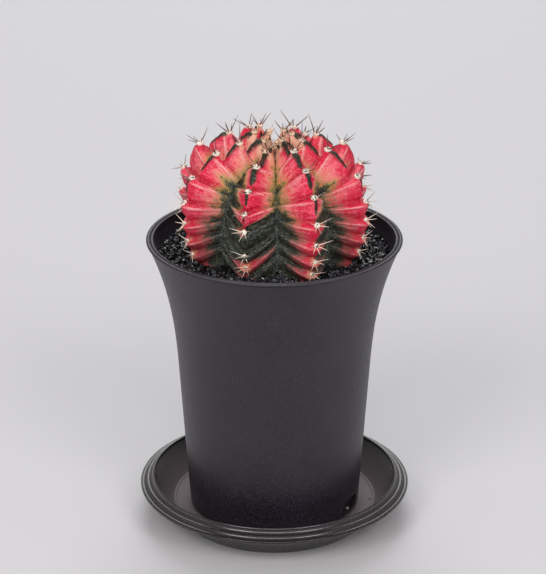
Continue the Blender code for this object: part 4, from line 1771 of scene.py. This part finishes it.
@dataclass
class Grit:
    """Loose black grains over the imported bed, which keeps its own solid.

    Crumbs and the stray grain are given by azimuth, and by radius and size in mm.
    """

    pot: Pot
    skin: Piece
    finish: BrokenStone = BrokenStone()
    crumbs: tuple[Triple, ...] = ((68.0, 28.7, 0.45), (70.0, 27.0, 0.25))
    stray: Triple = (84.3, 35.2, 0.35)
    shapes: int = 8
    cuts: int = 6
    merge: float = 0.06
    crease: float = 12.0
    reach: float = 41 * MM
    depth: float = 9 * MM
    drop: float = 20 * MM
    layers: tuple[Layer, ...] = (Layer(9000, 0.10, 0.45, 0.90, 0.72),
                                 Layer(4200, 0.65, 0.40, 0.82, 1.05),
                                 Layer(1500, 1.2, 0.30, 0.66, 1.6))

    def chip(self, index: int) -> Piece:
        """One angular chip of about unit radius, broken off a block by random cuts.

        Args:
            index: the chip's number.

        Returns:
            The chip.
        """
        draw = random.Random(f"chip_{index}")
        deselect()
        bpy.ops.mesh.primitive_cube_add(size=1.7)
        item = named(f"chip_{index}")
        with editing(item):
            for _ in range(self.cuts):
                way = Vector([draw.uniform(-1, 1) for _ in range(3)]).normalized()
                bpy.ops.mesh.select_all(action="SELECT")
                bpy.ops.mesh.bisect(plane_co=way * draw.uniform(0.55, 0.8), plane_no=way,
                                    use_fill=True, clear_outer=True)
            bpy.ops.mesh.select_all(action="SELECT")
            bpy.ops.transform.resize(value=(draw.uniform(0.8, 1.2), draw.uniform(0.7, 1.0),
                                            draw.uniform(0.6, 0.85)))
            close_up(self.merge)
        return item

    def build(self) -> None:
        """Dresses the bed, and strews the grains layer by layer and dresses them."""
        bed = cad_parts["soil"]
        bed.data.materials.clear()
        bed.data.materials.append(ShadedGritBed().build())
        ground, plant = self.tree(bed), self.tree(self.skin)
        draw = random.Random("grit")
        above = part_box("soil")[1].z + self.drop
        copies = []
        for layer in self.layers:
            taken: Cells = {}
            for _ in range(layer.thrown):
                grain = self.throw(draw, layer, taken, ground, plant, above)
                if grain:
                    copies.append(grain)
        shapes = [self.chip(index) for index in range(self.shapes)]
        grains = scattered("grit_grains", shapes, copies)
        hand_over(grains, self.crease, self.finish.build(), Slot.GRIT)

    def throw(self, draw: random.Random, layer: Layer, taken: Cells, ground: BVHTree,
              plant: BVHTree, above: float) -> Optional[Copy]:
        """Throws one grain on the bed.

        Args:
            draw: the source of chance.
            layer: the grain's layer.
            taken: the places taken in that layer.
            ground: the bed.
            plant: the plant.
            above: the height from which it falls.

        Returns:
            The grain, or None where it would miss the bed, or touch the pot, the plant or
            another grain of its layer.
        """
        turn = draw.uniform(0, math.tau)
        radius = self.reach * math.sqrt(draw.uniform(0.28, 1.0))
        size = draw.uniform(layer.smallest, layer.largest) * MM
        x, y = radius * math.sin(turn), -radius * math.cos(turn)
        tone = draw.random() ** 1.6
        shape = draw.randrange(self.shapes)
        turns = [draw.uniform(0, math.tau) for _ in range(3)]
        hit = ground.ray_cast(Vector((x, y, above)), Vector((0, 0, -1)))[0]
        if hit is None or hit.z < self.pot.top_z - self.depth:
            return None
        place = hit + Vector((0, 0, layer.lift * MM))
        if radius > self.pot.radius(place.z) - self.pot.wall - size * 0.75:
            return None
        if (self.crowded(taken, x, y, layer.spacing * MM)
                or self.inside(plant, place, size * 0.5)):
            return None
        turning = Matrix.Rotation(turns[0], 4, "Z") @ Matrix.Rotation(turns[1], 4, "X")
        turning = turning @ Matrix.Rotation(turns[2], 4, "Y")
        return Copy(shape, Matrix.Translation(place) @ turning @ Matrix.Scale(size, 4), tone)

    def spill(self, tray: Saucer) -> None:
        """Drops a few stray crumbs on the tray's floor beside a drain slot.

        Args:
            tray: the saucer.
        """
        place = Vector((0.0, 0.0, tray.floor_z))
        shape, dark = self.chip(0), self.chip(1)
        pale = [Copy(0, self.dropped(place, *crumb)) for crumb in self.crumbs]
        item = scattered("chalk_crumbs", [shape], pale)
        hand_over(item, self.crease, ChalkCrumb().build(), Slot.GRIT)
        item = scattered("stray_grit", [dark], [Copy(0, self.dropped(place, *self.stray), 0.2)])
        hand_over(item, self.crease, self.finish.build(), Slot.GRIT)

    @staticmethod
    def dropped(place: Vector, azimuth: float, radius: float, size: float) -> Matrix:
        """Lays a crumb on a floor.

        Args:
            place: the floor's middle.
            azimuth: the crumb's azimuth.
            radius: its distance from the middle, in mm.
            size: its size, in mm.

        Returns:
            The matrix that takes the crumb there.
        """
        turn = math.radians(azimuth)
        spot = place + Vector((radius * math.sin(turn), -radius * math.cos(turn), 0.6 * size)) * MM
        rolled = Matrix.Rotation(turn * size, 4, "X")
        return Matrix.Translation(spot) @ rolled @ Matrix.Scale(size * MM, 4)

    @staticmethod
    def tree(item: Piece) -> BVHTree:
        """A search tree over a piece's own mesh.

        Args:
            item: the piece.

        Returns:
            The tree.
        """
        bm = bmesh.new()
        bm.from_mesh(item.data)
        found = BVHTree.FromBMesh(bm)
        bm.free()
        return found

    @staticmethod
    def crowded(taken: Cells, x: float, y: float, spacing: float) -> bool:
        """Tells whether a grain lies too near another of its layer, and if not, takes its place.

        Args:
            taken: the places taken, by cell.
            x: the grain's place to the right.
            y: the grain's place to the back.
            spacing: the least distance, which is a cell's size too.

        Returns:
            Whether it is too near.
        """
        column, row = math.floor(x / spacing), math.floor(y / spacing)
        for cell in ((column + right, row + back) for right in (-1, 0, 1) for back in (-1, 0, 1)):
            if any(math.hypot(x - left, y - front) < spacing
                   for left, front in taken.get(cell, [])):
                return True
        taken.setdefault((column, row), []).append((x, y))
        return False

    @staticmethod
    def inside(plant: BVHTree, place: Vector, clearance: float) -> bool:
        """Whether a place is in the plant, or nearer to it than a clearance."""
        near, normal, _, distance = plant.find_nearest(place)
        return (place - near).dot(normal) < 0 or distance < clearance


# ---------------------------------------------------------------- studio


@dataclass(frozen=True)
class Lamp:
    """A square soft light that faces the plant, or another place."""

    name: str
    place: Triple
    size: float
    power: float
    color: Triple = (1.0, 1.0, 1.0)
    aim: Triple = (0.0, 0.0, 0.08)

    def build(self) -> None:
        """Hangs the lamp."""
        light = bpy.data.lights.new(self.name, "AREA")
        light.shape = "SQUARE"
        light.size = self.size
        light.energy = self.power
        light.color = self.color
        item = bpy.data.objects.new(self.name, light)
        item.location = self.place
        way = Vector(self.aim) - Vector(self.place)
        item.rotation_euler = way.to_track_quat("-Z", "Y").to_euler()
        bpy.context.scene.collection.objects.link(item)


@dataclass
class Studio:
    """The pale floor, the soft lights and the camera."""

    camera_place: Triple = (-0.5 * MM, -696.2 * MM, 375.2 * MM)
    camera_pitch: float = 67.563
    lens: float = 133.38
    floor_reach: float = 1.6
    floor_bend: float = 0.8
    floor_crease: float = 60.0
    lamps: tuple[Lamp, ...] = (
        Lamp("key", (-0.7, -1.08, 1.05), 0.6, 8.6, (1.0, 0.98, 0.97)),
        Lamp("front", (0.0, -1.28, 1.0), 0.6, 5.2, (1.0, 0.98, 0.975)),
        Lamp("fill", (0.7, -1.08, 1.05), 0.6, 6.8, (1.0, 0.98, 0.98)),
        Lamp("top", (0.0, 0.95, 1.5), 1.0, 12.2),
        Lamp("back", (0.0, 1.5, 0.9), 0.8, 3.8, aim=(0.0, 0.8, 0.0)))
    sky: Color = (0.94, 0.93, 0.95, 1.0)
    sky_strength: float = 0.35

    def floor(self) -> None:
        """Lays a flat floor that curves up far behind on every side."""
        outline = [(0.0, 0.0), (0.3, 0.0), (self.floor_reach, 0.0)]
        outline += arc_points((self.floor_reach, self.floor_bend), self.floor_bend, -90, 0, 12)
        item = turned("floor", outline, steps=96)
        settle(item, self.floor_crease)
        item.data.materials.append(StudioPaper().build())

    def build(self) -> None:
        """Sets up the stage."""
        self.floor()
        for lamp in self.lamps:
            lamp.build()
        scene = bpy.context.scene
        scene.world = bpy.data.worlds.new("studio")
        scene.world.use_nodes = True
        backdrop = scene.world.node_tree.nodes["Background"].inputs
        backdrop["Color"].default_value = self.sky
        backdrop["Strength"].default_value = self.sky_strength
        scene.view_settings.view_transform = "Standard"
        camera = bpy.data.cameras.new("camera")
        camera.lens = self.lens
        item = bpy.data.objects.new("camera", camera)
        item.location = self.camera_place
        item.rotation_euler = (math.radians(self.camera_pitch), 0.0, 0.0)
        scene.collection.objects.link(item)
        scene.camera = item


def main() -> None:
    """Builds the saucer, the pot, the plant, the grit and the studio."""
    logging.basicConfig(level=logging.INFO, format="%(message)s")
    form = PlantForm()
    tray = Saucer()
    tray.build()
    pot = Pot()
    pot.build()
    skin = Skin(form).build()
    Areoles(form).build()
    grit = Grit(pot, skin)
    grit.build()
    grit.spill(tray)
    Studio().build()


if __name__ == "__main__":
    main()
